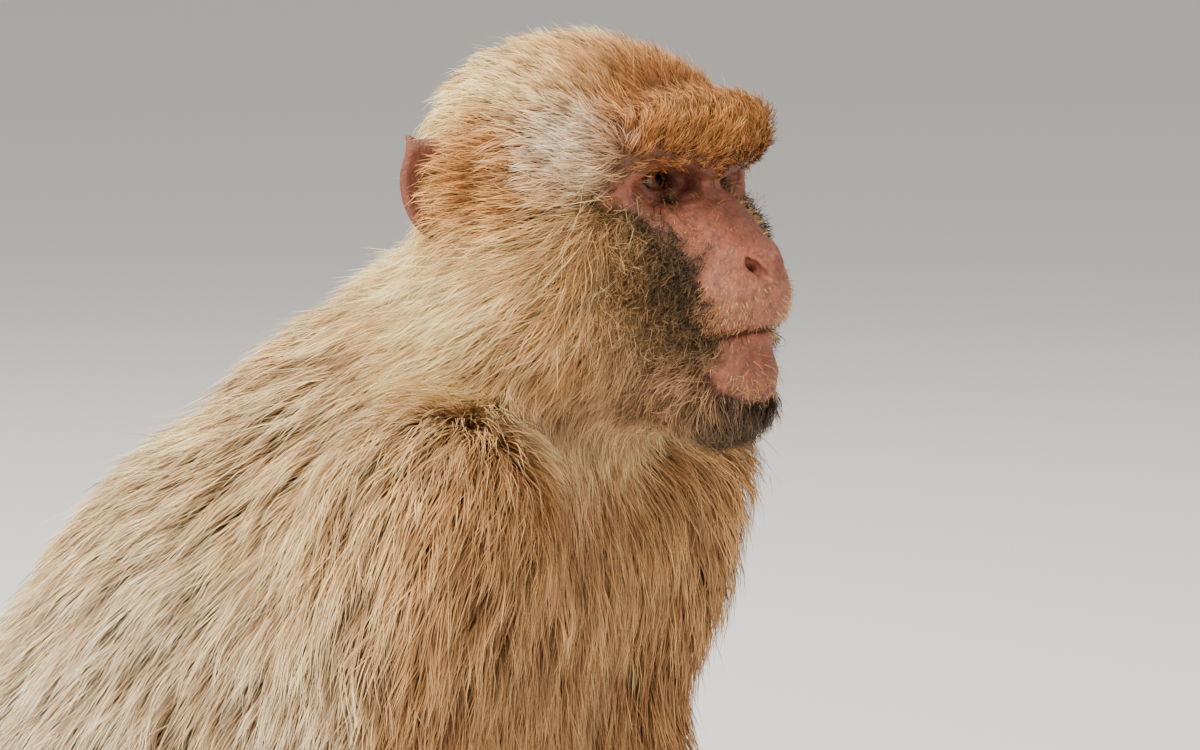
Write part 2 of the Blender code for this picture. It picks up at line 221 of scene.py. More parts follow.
def blurred(values, sigma):
    """The field smoothed over sigma cells."""
    reach = int(3 * sigma)
    weights = np.exp(-0.5 * (np.arange(-reach, reach + 1) / sigma) ** 2)
    weights /= weights.sum()
    for axis in range(3):
        padded = np.pad(values, [(reach, reach) if i == axis else (0, 0) for i in range(3)], mode="edge")
        total = np.zeros_like(values)
        for shift, weight in enumerate(weights):
            window = [slice(None)] * 3
            window[axis] = slice(shift, shift + values.shape[axis])
            total += weight * padded[tuple(window)]
        values = total
    return values


def whole_distance(nodes, grid):
    """The distance from several solids as one body."""
    union = np.minimum.reduce([distances(*node_mesh(node), grid) for node in nodes])
    corners, triangles, quads = surface(union - GAP, grid)
    halves = np.concatenate([triangles, quads[:, [0, 1, 2]], quads[:, [0, 2, 3]]])
    return distances(corners, halves.astype(np.uint32), grid)


class Field:
    """Values on a grid, read between its points."""

    def __init__(self, values, grid):
        self.values, self.grid = values.reshape(grid.counts), grid

    def at(self, points):
        place = (points - self.grid.low) / self.grid.cell
        place = np.clip(place, 0, np.array(self.grid.counts) - 1.001)
        base = place.astype(int)
        share = place - base
        total = np.zeros(len(points))
        for corner in np.ndindex(2, 2, 2):
            weight = np.prod(np.where(corner, share, 1 - share), axis=1)
            i, j, k = (base + corner).T
            total += weight * self.values[i, j, k]
        return total

    def slope(self, points):
        step = self.grid.cell
        rises = [self.at(points + step * axis) - self.at(points - step * axis) for axis in np.eye(3)]
        return unit(np.column_stack(rises))


def ramp(values, start, end):
    """0 before start, 1 after end, smooth between."""
    share = np.clip((values - start) / (end - start), 0, 1)
    return share * share * (3 - 2 * share)


def bell(points, centre, radii):
    """1 at the centre, fading to nothing about two radii away."""
    return np.exp(-(((points - np.array(centre)) / np.array(radii)) ** 2).sum(axis=1))


def ellipsoid(points, centre, radii):
    q = (points - np.array(centre)) / np.array(radii)
    reach = np.linalg.norm(q, axis=1)
    return reach * (reach - 1) / (np.linalg.norm(q / np.array(radii), axis=1) + 1e-9)


def capsule(points, start, end, start_radius, end_radius):
    start, end = np.array(start), np.array(end)
    along = end - start
    share = np.clip((points - start) @ along / (along @ along), 0, 1)
    nearest = start + share[:, None] * along
    return np.linalg.norm(points - nearest, axis=1) - (start_radius + share * (end_radius - start_radius))


def joined(first, second, width):
    overlap = np.clip(width - np.abs(first - second), 0, None) / width
    return np.minimum(first, second) - overlap**2 * width / 4


def carved(field, hollow, width):
    return -joined(-field, hollow, width)


# The coat's zones --------------------

# The coat's colours, each at a strand's root, middle and tip.
TINTS = {
    "tan": ((98, 70, 44), (204, 158, 102), (242, 208, 152)),
    "grey": ((84, 62, 42), (200, 162, 112), (248, 220, 170)),
    "thigh": ((84, 62, 42), (200, 162, 112), (242, 208, 152)),
    "ash": ((92, 74, 56), (214, 188, 152), (252, 232, 202)),
    "gold": ((98, 62, 32), (198, 138, 70), (236, 188, 116)),
    "ochre": ((88, 54, 30), (176, 112, 54), (218, 160, 94)),
    "amber": ((96, 56, 26), (182, 114, 50), (216, 156, 84)),
    "rust": ((70, 38, 18), (150, 82, 34), (194, 126, 62)),
    "fringe": ((70, 38, 18), (150, 82, 34), (218, 160, 94)),
    "cream": ((110, 76, 44), (234, 188, 122), (254, 224, 164)),
    "wheat": ((94, 64, 40), (204, 158, 106), (242, 206, 152)),
    "pale": ((110, 84, 62), (216, 182, 144), (246, 224, 190)),
    "dark": ((22, 16, 12), (34, 25, 18), (126, 90, 54)),
    "black": ((26, 20, 16), (46, 34, 26), (112, 88, 66)),
    "paw": ((22, 16, 12), (116, 78, 52), (218, 160, 94)),
    # A darker brown for the sides of the lower face: sparse hair over pinkish skin, and partly painted shade
    # on the lower face.
    "jaw": ((74, 46, 32), (116, 78, 52), (176, 134, 94)),
    # A warm brown for the body's front: partly the chest's own colour, partly painted shade on the side
    # turned from the key light.
    "chest": ((84, 50, 30), (166, 110, 62), (212, 160, 102)),
}
TINTS = {name: [srgb(*colour) for colour in colours] for name, colours in TINTS.items()}

# A zone has a tint, the hair's length and the coat's depth in millimetres, and the hair's lift in degrees. On
# the head it has a centre and radii on the left, mirrored to the right, and a comb: the way the hair lies. On
# the body it lies round a bone, and its hair along the bone.
Zone = namedtuple("Zone", "tint length depth lift centre radii comb", defaults=(None, None, None))
HEAD_ZONES = {
    "brow": Zone("ochre", 12, 6, 28, (16, 25, 23), (26, 12, 9), (-0.25, 0.35, 0.9)),
    "under_brow": Zone("fringe", 4.2, 3, 18, (14, 23, 8), (17, 12, 5), (-0.4, 1.0, 0.0)),
    "forehead": Zone("rust", 18, 9, 28, (10, 4, 44), (34, 20, 14), (0.1, -0.9, 0.3)),
    "crown": Zone("cream", 24, 11, 28, (10, -54, 56), (52, 38, 26), (0.0, -1.0, 0.0)),
    "occiput": Zone("cream", 34, 16, 24, (0, -112, 14), (60, 34, 50), (0.0, -0.8, -0.5)),
    "temple": Zone("pale", 14, 7, 20, (48, -12, 12), (9, 15, 11), (0.2, -1.0, 0.2)),
    "ear_front": Zone("amber", 22, 10, 34, (60, -44, 0), (14, 26, 20), (0.3, -1.0, -0.1)),
    "ruff": Zone("cream", 40, 19, 22, (50, -46, -46), (28, 40, 28), (0.1, -0.9, -0.5)),
    "whisker": Zone("wheat", 26, 12, 24, (38, -14, -62), (22, 20, 20), (0.1, -0.7, -0.8)),
    "cheek": Zone("dark", 6.5, 1.0, 34, (32, 14, -42), (16, 22, 20), (0.2, -0.4, -0.7)),
    "jaw": Zone("jaw", 18, 7, 24, (32, 6, -82), (18, 24, 14), (0.1, -0.7, -0.7)),
    "beard": Zone("black", 13, 6, 26, (0, 38, -98), (26, 18, 10), (0.0, 0.15, -1.0)),
    "throat": Zone("wheat", 28, 14, 22, (0, -20, -104), (40, 34, 20), (0.0, -0.4, -0.9)),
}
BODY_ZONES = {
    "neck": Zone("cream", 44, 18, 18),
    "trunk": Zone("grey", 48, 18, 15),
    "upper_arm": Zone("tan", 42, 16, 15),
    "forearm": Zone("ochre", 26, 9, 15),
    "thigh": Zone("thigh", 40, 15, 15),
    "shank": Zone("gold", 26, 9, 15),
    "hand": Zone("paw", 10, 0.3, 14),
    "foot": Zone("paw", 10, 0.3, 14),
}
# Bare skin on the face, as soft balls: round the eye, under and beyond it, beside and on the nose, round the
# muzzle and on the lower lip.
BARE = (
    ((24, 14, 0), (18, 15, 7.5)),
    ((30, 13, -9), (12, 14, 8)),
    ((40, 10, -4), (10, 10, 8)),
    ((17, 26, -18), (18, 16, 15)),
    ((0, 28, -14), (20, 24, 15)),
    ((14, 20, 0), (15, 14, 8)),
    ((0, 46, -42), (31, 27, 28)),
    ((0, 46, -72), (24, 20, 15)),
)
# The dark patch on the cheek: its middle, its reach forwards, backwards, up and down, and its slant.
CHEEK_MIDDLE, CHEEK_REACH, CHEEK_SLANT = (12, -43), (31, 20, 32, 29), 0.5
# Patches of another colour in the coat: a place on the head's left in millimetres, radii, tint and strength.
PATCHES = (
    ((60, -98, -60), (18, 18, 14), "rust", 0.8),
    ((82, -90, -92), (32, 24, 14), "dark", 0.8),
    ((50, -3, -38), (15, 18, 28), "amber", 1.0),
    ((40, -14, -66), (18, 18, 14), "ochre", 0.55),
    ((14, -16, 56), (30, 22, 16), "rust", 0.9),
    ((14, 12, 36), (26, 18, 14), "dark", 0.4),
    ((38, 13, 12), (13, 12, 9), "rust", 0.8),
    ((10, -34, 60), (46, 34, 20), "gold", 0.75),
    # The next two patches, under the ruff, are partly the neck's reddish coat and partly painted shade
    # beneath the ruff.
    ((54, -34, -110), (26, 24, 18), "rust", 0.5),
    ((0, -36, -128), (50, 30, 24), "rust", 0.45),
)
PATCH_SHADES = (0.6, 1.0, 1.4)  # of a patch's tint, at a strand's root, middle and tip
# The coat fans out from the neck over the shoulders, and leans down the body by FAN_DROP as it does. On the
# thighs it parts to the sides.
FAN_DROP = 0.6
SHOULDER_CREST = (80, -44, -106)  # where locks grow thicker, as the coat parts from there
TRUNK_LIE = unit(BONES["trunk"].end - BONES["trunk"].start)
NECK_LIE = unit(BONES["trunk"].start - from_head((0, -60, -20)))
THIGH_PARTING = np.array((0.5, 0, 0))
# Beside the face the strands are frizzy: the middle, the radii and how much more than elsewhere.
FRIZZ_MIDDLE, FRIZZ_RADII, FRIZZ_MORE = (46, -8, -50), (20, 22, 38), 2.2
SHARE_REACH = 0.020  # how softly one bone's part gives way to the next
# The line where the lips meet: its height at LIP_FRONT millimetres forward, and how much it rises forwards.
LIP_LEVEL, LIP_SLOPE, LIP_FRONT = -57.2, 0.28, 52.0


def mirrored(places):
    """Places on the right of the head moved to its left."""
    return np.column_stack([np.abs(places[:, 0]), places[:, 1:]])


def above_lips(places):
    """Millimetres above the line where the lips meet."""
    return places[:, 2] - LIP_LEVEL - LIP_SLOPE * (places[:, 1] - LIP_FRONT)


def headness(places):
    """1 on the head, 0 on the body and the shoulders, given places in the head's millimetres."""
    shoulders = ramp(np.abs(places[:, 0]), 54, 70) * ramp(-places[:, 2], 74, 92)
    return ramp(0.55 * places[:, 1] + 0.83 * places[:, 2], -128, -98) * (1 - shoulders)


def bareness(places):
    """1 on the bare face, 0 where there is hair."""
    mirror = mirrored(places)
    bare = np.max([ramp(-ellipsoid(mirror, *ball), -5, 4) for ball in BARE], axis=0)
    return bare * ramp(places[:, 1], -8, 4)


def cheek_dark(places):
    """1 in the middle of the dark patch on each cheek, fading out over its edge."""
    forward = places[:, 1] - CHEEK_MIDDLE[0]
    up = places[:, 2] - CHEEK_MIDDLE[1] + CHEEK_SLANT * forward
    ahead, high = np.where(forward > 0, *CHEEK_REACH[:2]), np.where(up > 0, *CHEEK_REACH[2:])
    reach = np.hypot(forward / ahead, up / high)
    edge = 1.0 + 0.08 * np.sin(places[:, 1] * 0.55 + places[:, 2] * 0.3)
    aside = ramp(np.abs(places[:, 0]), 8, 15)
    return ramp(edge - reach, -0.14, 0.26) * aside * ramp(above_lips(places), -9, -1)


def zone_shares(points):
    """How much each zone rules at each point: a dict of zones to shares that add up to 1."""
    places = to_head(points)
    mirror = mirrored(places)
    on_head = headness(places)
    head = {name: bell(mirror, zone.centre, zone.radii) + TRACE for name, zone in HEAD_ZONES.items()}
    body = {node: np.exp(-bone_distance(points, bone) / SHARE_REACH) for node, bone in BONES.items()}
    shares = {}
    for group, amount in ((head, on_head), (body, 1 - on_head)):
        whole = sum(group.values())
        shares.update({name: amount * share / whole for name, share in group.items()})
    return shares


def zone_named(name):
    return HEAD_ZONES.get(name) or BODY_ZONES[name.removesuffix("_left").removesuffix("_right")]


def blend_of(shares, quality):
    """A quality of the zones, mixed by their shares at each point."""
    return sum(share[:, None] * np.atleast_1d(quality(name)) for name, share in shares.items())


def coat_depth(points):
    """How far the skin lies inside the solids' outline, in metres."""
    places = to_head(points)
    depth = blend_of(zone_shares(points), lambda name: zone_named(name).depth)[:, 0]
    return depth * (1 - bareness(places) * headness(places)) * MM


def along_bone(points, name):
    """The way along a bone. The thigh's gives way at its ends to the trunk's and the shank's."""
    bone = BONES[name]
    axis = unit(bone.end - bone.start)
    if not name.startswith("thigh"):
        return np.tile(axis, (len(points), 1))
    shank = BONES[name.replace("thigh", "shank")]
    share = (points - bone.start) @ axis / np.linalg.norm(bone.end - bone.start)
    hip, knee = ramp(-share, -0.7, 0.0)[:, None], ramp(share, 0.6, 1.1)[:, None]
    lie = (1 - hip) * (1 - knee) * axis + hip * TRUNK_LIE + knee * unit(shank.end - shank.start)
    return unit(lie + THIGH_PARTING * np.sign(bone.start[0]))


def comb_at(points):
    """The direction that the coat lies in."""
    side = np.sign((points - HEAD_ORIGIN) @ LEFTWARD)
    high = ramp(points[:, 2], SHOULDER_HEIGHT - 0.14, SHOULDER_HEIGHT - 0.03)[:, None]
    from_neck = points - BONES["trunk"].start
    fan = unit(unit(from_neck - (from_neck @ NECK_LIE)[:, None] * NECK_LIE) + FAN_DROP * NECK_LIE)
    total = np.zeros_like(points)
    for name, share in zone_shares(points).items():
        zone = zone_named(name)
        if zone.comb is None:
            lie = (1 - high) * along_bone(points, name) + high * fan
        else:
            turned = np.column_stack([side * zone.comb[0], *(np.full_like(side, c) for c in zone.comb[1:])])
            lie = turned @ HEAD_AXES.T
        total += share[:, None] * unit(lie)
    return unit(total)


def coat_bands(points, shares):
    """The coat's colours at each point: at the root, the middle and the tip of a strand."""
    bands = [blend_of(shares, lambda name, i=i: TINTS[zone_named(name).tint][i]) for i in range(3)]
    places = to_head(points)
    body = (1 - headness(places)) * ramp(paw_distance(points), 0.0, 0.03)
    normal = OUTLINE.slope(points)
    front, above = ramp(-normal[:, 1], 0.0, 0.7), ramp(normal[:, 2], 0.55, 0.85)
    low = ramp(-points[:, 2], -0.36, -0.22)
    washes = [
        (0.35 * body * np.clip(0.5 + 0.5 * ripple(points, 0.08, 21), 0, 1), TINTS["gold"]),
        (0.60 * body * low * (1 - front) * (1 - above), TINTS["ash"]),
        # Painted shade: the coat on the body's front, turned from the key light, goes over to the darker
        # chest brown.
        (0.75 * body * front, TINTS["chest"]),
    ]
    streaks = np.clip(0.75 + 0.6 * ripple(points, 0.014, 12), 0, 1)
    for centre, radii, tint, strength in PATCHES:
        amount = strength * streaks * bell(mirrored(places), centre, radii)
        washes.append((amount, [TINTS[tint][1] * shade for shade in PATCH_SHADES]))
    for amount, tints in washes:
        bands = [mixed(band, tint, amount) for band, tint in zip(bands, tints)]
    return bands


def ripple(points, wavelength, seed):
    """A smooth random pattern, about -1 to 1, whose bumps are a wavelength apart."""
    rng = np.random.default_rng(seed)
    total = np.zeros(len(points))
    for _ in range(7):
        wave = unit(rng.normal(size=3)) * 2 * np.pi / wavelength * rng.uniform(0.7, 1.4)
        total += np.sin(points @ wave + rng.uniform(0, 2 * np.pi))
    return total / 3


# Meshes and materials --------------------


def add_object(name, data):
    made = bpy.data.objects.new(name, data)
    bpy.context.scene.collection.objects.link(made)
    return made


def mesh_object(name, corners, faces, look):
    """An object from corners and a list of face arrays, each with its own number of corners per face."""
    mesh = bpy.data.meshes.new(name)
    sizes = np.concatenate([np.full(len(block), block.shape[1]) for block in faces])
    loops = np.concatenate([block.ravel() for block in faces]).astype(np.int32)
    mesh.vertices.add(len(corners))
    mesh.vertices.foreach_set("co", np.ascontiguousarray(corners, dtype=np.float32).ravel())
    mesh.loops.add(len(loops))
    mesh.loops.foreach_set("vertex_index", loops)
    mesh.polygons.add(len(sizes))
    mesh.polygons.foreach_set("loop_start", np.concatenate([[0], np.cumsum(sizes)[:-1]]).astype(np.int32))
    mesh.polygons.foreach_set("use_smooth", np.full(len(sizes), True))
    mesh.update(calc_edges=True)
    mesh.materials.append(look)
    return add_object(name, mesh)


def paint(obj, name, colours):
    """Stores a colour for each corner of the mesh under a name that its material reads."""
    layer = obj.data.color_attributes.new(name, "FLOAT_COLOR", "POINT")
    opaque = np.column_stack([colours, np.ones(len(colours))])
    layer.data.foreach_set("color", opaque.astype(np.float32).ravel())


def set_inputs(node, **values):
    for socket, value in values.items():
        node.inputs[socket.replace("_", " ")].default_value = value


def new_look(name, roughness, **sockets):
    look = bpy.data.materials.new(name)
    look.use_nodes = True
    set_inputs(look.node_tree.nodes["Principled BSDF"], Roughness=roughness, **sockets)
    return look


def noise(nodes, links, scale, detail=4.0):
    place = nodes.new("ShaderNodeTexCoord")
    made = nodes.new("ShaderNodeTexNoise")
    set_inputs(made, Scale=scale, Detail=detail)
    links.new(place.outputs["Object"], made.inputs["Vector"])
    return made.outputs["Fac"]


def painted_look(name, roughness, mottle_scale, mottle, **sockets):
    """A look whose base colour comes from the painted markings and painted shade, mottled a little by noise.
    """
    look = new_look(name, roughness, **sockets)
    nodes, links = look.node_tree.nodes, look.node_tree.links
    marking = nodes.new("ShaderNodeAttribute")
    marking.attribute_name = "MarkingsAndShade"
    spread = nodes.new("ShaderNodeMapRange")
    set_inputs(spread, From_Min=0.3, From_Max=0.7, To_Min=1 - mottle, To_Max=1 + mottle)
    links.new(noise(nodes, links, mottle_scale), spread.inputs["Value"])
    product = nodes.new("ShaderNodeVectorMath")
    product.operation = "SCALE"
    links.new(marking.outputs["Color"], product.inputs[0])
    links.new(spread.outputs["Result"], product.inputs["Scale"])
    links.new(product.outputs["Vector"], nodes["Principled BSDF"].inputs["Base Color"])
    return look


CELL_SCALE = 620  # leathery cells in the skin, per metre
BUMP_DISTANCE = 0.0009


def skin_look(name, roughness, grain):
    """Bare skin, with bump from its cells, then from coarse and fine noise."""
    look = painted_look(name, roughness, 420, 0.22, Subsurface_Weight=0.12, Specular_IOR_Level=0.4)
    nodes, links = look.node_tree.nodes, look.node_tree.links
    shader = nodes["Principled BSDF"]
    set_inputs(shader, Subsurface_Radius=(0.004, 0.0015, 0.0008), Subsurface_Scale=1.0)
    place = nodes.new("ShaderNodeTexCoord")
    cells = nodes.new("ShaderNodeTexVoronoi")
    set_inputs(cells, Scale=CELL_SCALE)
    links.new(place.outputs["Object"], cells.inputs["Vector"])
    coarse, fine = noise(nodes, links, 300, 3.0), noise(nodes, links, grain, 3.0)
    heights = ((cells.outputs["Distance"], 0.35), (coarse, 0.45), (fine, 0.35))
    before = None
    for height, strength in heights:
        bump = nodes.new("ShaderNodeBump")
        set_inputs(bump, Strength=strength, Distance=BUMP_DISTANCE)
        links.new(height, bump.inputs["Height"])
        if before:
            links.new(before.outputs["Normal"], bump.inputs["Normal"])
        before = bump
    links.new(before.outputs["Normal"], shader.inputs["Normal"])
    return look


LOOKS = {
    "coat": painted_look("coat", 0.62, 90, 0.12, Specular_IOR_Level=0.2),
    "skin": skin_look("skin", 0.55, 1500),
    "ear": skin_look("ear", 0.6, 1200),
    "eye": painted_look(
        "eye", 0.25, 900, 0.25, Coat_Weight=0.25, Coat_Roughness=0.06, Specular_IOR_Level=0.25
    ),
    "nail": painted_look("nail", 0.5, 500, 0.2),
}


# The skin --------------------

BODY_MARGIN = 0.016
FLAT_SHARE = 0.03  # how readily small faces merge on the body, where the coat hides the skin
BODY_GRID = grid_around(*CAD_BOX, BODY_CELL, BODY_MARGIN)


def outline():
    """The solids' outer surface as one field, eased but for the face and paws, with the mantle filled in."""
    whole = whole_distance(FLESH, BODY_GRID)
    eased, soft = blurred(whole, BODY_EASE).ravel(), blurred(whole, MANTLE_EASE).ravel()
    points = grid_points(BODY_GRID)
    places = to_head(points)
    mantle = ramp(points[:, 2], SHOULDER_HEIGHT - 0.15, SHOULDER_HEIGHT - 0.05)
    mantle *= ramp(-places[:, 2], 70, 100) * ramp(-places[:, 1], -5, 20)
    eased += mantle * np.minimum(soft - eased, 0)
    crisp = np.exp(-paw_distance(points) / 0.01)
    crisp = np.clip(crisp + ramp(places[:, 1], -60, -20) * headness(places), 0, 1)
    return Field((crisp * whole.ravel() + (1 - crisp) * eased).astype(np.float32), BODY_GRID)


OUTLINE = outline()
DEPTH_GRID = grid_around(*CAD_BOX, 0.008, 0.024)
DEPTH = Field(coat_depth(grid_points(DEPTH_GRID)), DEPTH_GRID)


def neck_cut(points):
    """Distance past the plane across the neck, between the shoulders, where the head's skin starts."""
    places = to_head(points)
    above = (places - (0, -74, -72)) @ unit(np.array((0, 0.55, 0.83)))
    between = 64 - np.abs(places[:, 0]) + 2 * np.clip(places[:, 2] + 84, 0, None)
    return np.minimum(above, between) * MM


def body_skin():
    points = grid_points(BODY_GRID)
    field = OUTLINE.values.ravel() + DEPTH.at(points)
    field = np.maximum(field, neck_cut(points) - 0.004)
    paws = np.min([distances(*node_mesh(paw), BODY_GRID).ravel() for paw in PAWS], axis=0)
    field = np.maximum(field, 0.002 - paws)
    return surface(field, BODY_GRID, FLAT_SHARE)


# The face's lines, in millimetres on the left side and mirrored to the right.
BROW_EDGE = ((0, 27, 5.5), (8, 24, 5), (14, 20.5, 5), (18, 18, 7.5), (23, 15.5, 9), (29, 11, 7), (35, 7.5, 2))
OUTER_CREASE = ((29, 9.6, -0.5), (35, 9.2, 0.5), (41.5, 2.3, -2))
NOSTRIL = (  # rods: two ends and the radii there
    ((12.6, 43.0, -26.6), (8.6, 50.6, -32.0), 1.2, 2.6),
    ((8.6, 50.6, -32.0), (5.0, 55.6, -36.8), 2.6, 1.5),
    ((12.6, 43.0, -26.6), (8.6, 40, -32), 1.0, 1.4),
    ((8.6, 50.6, -32.0), (6.4, 44, -35), 2.0, 1.6),
)
EYE_ALMOND = (1.4, 4.4, 10.0)  # the slit between the lids: its middle, half its height and half its width


def along_line(places, line, radius, lift=(0, 0, 0)):
    """Distance from a tube along a line of points."""
    ends = [np.array(point) + lift for point in line]
    return np.minimum.reduce([capsule(places, a, b, radius, radius) for a, b in zip(ends, ends[1:])])


def brow_fold(field, mirror):
    """The fold of skin that hangs over the eyes, and the crease behind their outer corners."""
    field = joined(field, along_line(mirror, BROW_EDGE, 3.6, (0, -3, 3.6)), 4)
    return field + 1.2 * np.exp(-((along_line(mirror, OUTER_CREASE, 0.0) / 1.8) ** 2))


def cheeks(field, mirror):
    """The cheeks, which run forwards into the sides of the muzzle, and the flanks of the nose."""
    field = joined(field, capsule(mirror, (20, 2, -50), (13, 27, -60), 11, 7.5), 9)
    field = joined(field, capsule(mirror, (19, 12, -26), (11, 38, -44), 13, 9.5), 9)
    return joined(field, capsule(mirror, (9, 18, -10), (9, 40, -31), 5.5, 6), 7)


def eyelids(field, mirror):
    """Fills the socket round the eyeball, and opens an almond slit between the lids."""
    eye = mirror - (EYE_OFFSET, 0, 0)
    middle, half_height, half_width = EYE_ALMOND
    field = joined(field, ellipsoid(eye, (-1, -0.5, -4), (18, 11.0, 13)), 6)
    field = joined(field, ellipsoid(eye, (-8.5, 6, -6), (5, 5, 6)), 5)
    field = joined(field, ellipsoid(eye, (0, 0.4, 0.8), (12.0, 11.0, 10.6)), 3)
    share = np.clip(np.abs(eye[:, 0]) / half_width, 0, 1.2)
    slit = np.abs(eye[:, 2] - middle - 0.04 * eye[:, 0]) - half_height * (1 - share**2.4)
    field = carved(field, np.maximum(slit, 3 - eye[:, 1]), 0.9)
    field = carved(field, ellipsoid(eye, (0, 0, 0), (EYE_RADIUS + 0.05,) * 3), 0.3)
    round_eye = np.hypot(eye[:, 0] * 0.75, eye[:, 2] - middle)
    creases = np.sin(round_eye * 2 * np.pi / 2.6) * np.exp(-(((round_eye - 8.6) / 3.4) ** 2))
    return field + 0.42 * creases * ramp(-eye[:, 2], -1, 3) * ramp(eye[:, 1], 0, 6)


def nostrils(field, mirror):
    """The wings and the tip of the nose, and the slits in it."""
    field = joined(field, capsule(mirror, (9.5, 44.0, -27.5), (5.5, 50.0, -31.0), 3.0, 3.6), 4)
    field = joined(field, ellipsoid(mirror, (0, 51.5, -34), (6.0, 5.0, 5.5)), 4)
    return carved(field, np.minimum.reduce([capsule(mirror, *rod) for rod in NOSTRIL]), 0.9)


def mouth(field, mirror):
    """The closed lips: a crease that runs back to the corners, with a roll above and below it."""
    level = above_lips(mirror)
    on_lips = ramp(mirror[:, 1], 22, 38) * ramp(24 - mirror[:, 0], -4, 6)
    field = field - on_lips * 1.0 * np.exp(-(((level - 3.4) / 2.6) ** 2))
    field = field - on_lips * 1.3 * np.exp(-(((level + 4.0) / 3.2) ** 2))
    return field + (0.6 + 2.2 * on_lips) * ramp(mirror[:, 1], 16, 26) * np.exp(-((level / 1.0) ** 2))


def folds(field, mirror):
    """Creases across the bridge of the nose, and down beside the muzzle."""
    side, forward, up = mirror.T
    across = 0.20 * np.sin(up * 2 * np.pi / 3.6 + 0.03 * side**2) * ramp(-side, -10, -4)
    field = field + across * ramp(forward, 12, 18) * ramp(up, -18, -8) * ramp(-up, -6, -2)
    beside = (forward - 33 + 0.35 * (up + 40)) / 2.2
    field = field + 0.5 * np.exp(-(beside**2)) * ramp(side, 12, 17) * ramp(up, -52, -44) * ramp(-up, 26, 34)
    slant = np.sin((side * 0.5 - forward * 0.5 - up) * 2 * np.pi / 4.6)
    return field + 0.16 * slant * bell(mirror, (30, 12, -10), (9, 9, 5))


def head_skin():
    low = np.min([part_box(node)[0] for node in HEAD_PARTS], axis=0)
    high = np.max([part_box(node)[1] for node in HEAD_PARTS], axis=0)
    grid = grid_around(low, high, HEAD_CELL, 0.004)
    whole = blurred(whole_distance(HEAD_PARTS + ["neck", "trunk"], grid), HEAD_EASE)
    points = grid_points(grid)
    field = whole.ravel() / MM + DEPTH.at(points) / MM
    near = np.flatnonzero(np.abs(field) < 16)
    places = to_head(points[near])
    for shape in (cheeks, folds, nostrils, mouth, brow_fold, eyelids):
        field[near] = shape(field[near], mirrored(places))
    field = np.maximum(field * MM, -neck_cut(points) - 0.006)
    return surface(field, grid), Field(field, grid)


def paw_skin(paw):
    """A bare hand or foot, drawn out a little way up its wrist or ankle."""
    bone = paw.replace("hand", "forearm").replace("foot", "shank")
    low, high = (np.array(corner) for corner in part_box(paw))
    high[2] += 0.014
    grid = grid_around(low, high, PAW_CELL, 0.004)
    field = joined(distances(*node_mesh(paw), grid), distances(*node_mesh(bone), grid), 0.008)
    return surface(field.ravel() + DEPTH.at(grid_points(grid)), grid)


def joined_meshes(parts):
    """Several meshes' corners, triangles and quads as one."""
    corners, *kinds = zip(*parts)
    shifts = np.cumsum([0] + [len(places) for places in corners[:-1]])
    faces = [[block.astype(np.int64) + shift for block, shift in zip(kind, shifts)] for kind in kinds]
    return np.concatenate(corners), *(np.concatenate(blocks) for blocks in faces)


# The brow brown and the lid brown are partly painted shade: under the brow, at the eyes' inner corners and in
# the lips' crease.
FACE_PINK, LIP_RED, BROW_BROWN_AND_SHADE = srgb(136, 78, 56), srgb(118, 58, 44), srgb(104, 60, 36)
MUZZLE_PINK, PAW_SKIN, LID_BROWN_AND_SHADE = srgb(170, 108, 84), srgb(64, 51, 44), srgb(84, 48, 38)
CHEEK_DARK, NOSE_RED, FRECKLE = srgb(52, 36, 26), srgb(136, 68, 50), srgb(96, 56, 42)


def skin_colour(points):
    """The same markings as the coat's roots, with the bare face and paws painted over them, and painted shade
    under the brow, at the eyes' inner corners and in the crease between the lips.
    """
    places = to_head(points)
    mirror = mirrored(places)
    face = bareness(places) * headness(places)
    eye = mirror - (EYE_OFFSET, 0, EYE_ALMOND[0])
    socket = np.exp(-((np.hypot(eye[:, 0] / 12, eye[:, 2] / 6.4)) ** 4)) * ramp(eye[:, 1], 0, 5)
    # Painted shade in the hollow at each eye's inner corner, under the brow; the same lid brown also colours
    # the lids themselves.
    inner_corner_shade = bell(mirror, (11, 20, -1), (7, 8, 5))
    level = above_lips(places)
    lips = np.exp(-(((level + 1.0) / 4.2) ** 2)) * ramp(places[:, 1], 30, 38)
    # Painted shade: the line where the lips meet is darkened with the lid brown.
    crease = np.exp(-((level / 0.9) ** 2)) * ramp(places[:, 1], 24, 34)
    colour = coat_bands(points, zone_shares(points))[0]
    for amount, tint in (
        (face, FACE_PINK * (1 + 0.16 * ripple(points, 0.010, 3))[:, None]),
        (0.6 * face * bell(mirror, (10, 48, -46), (14, 14, 9)), MUZZLE_PINK),
        (0.5 * face * bell(mirror, (10, 40, -24), (8, 12, 9)), NOSE_RED),
        (0.45 * face * ramp(ripple(points, 0.005, 5), 0.0, 1.0), FRECKLE),
        (0.45 * bell(mirror, (24, 12, -9), (16, 10, 8)), FRECKLE),
        (0.92 * cheek_dark(places) * ramp(-places[:, 1], -44, -26), CHEEK_DARK),
        # The brow's underside: its own brown skin, darkened further as painted shade under the overhanging
        # fold.
        (0.9 * bell(mirror, (18, 21, 9), (28, 11, 6)), BROW_BROWN_AND_SHADE),
        (0.85 * np.maximum(socket, inner_corner_shade), LID_BROWN_AND_SHADE),
        (0.75 * lips, LIP_RED),
        # Painted shade in the crease between the lips.
        (0.9 * crease, LID_BROWN_AND_SHADE),
        (np.exp(-np.clip(paw_distance(points), 0, None) / 0.008), PAW_SKIN),
    ):
        colour = mixed(colour, tint, amount)
    return np.clip(colour, 0, 1)


head_mesh, HEAD_FIELD = head_skin()


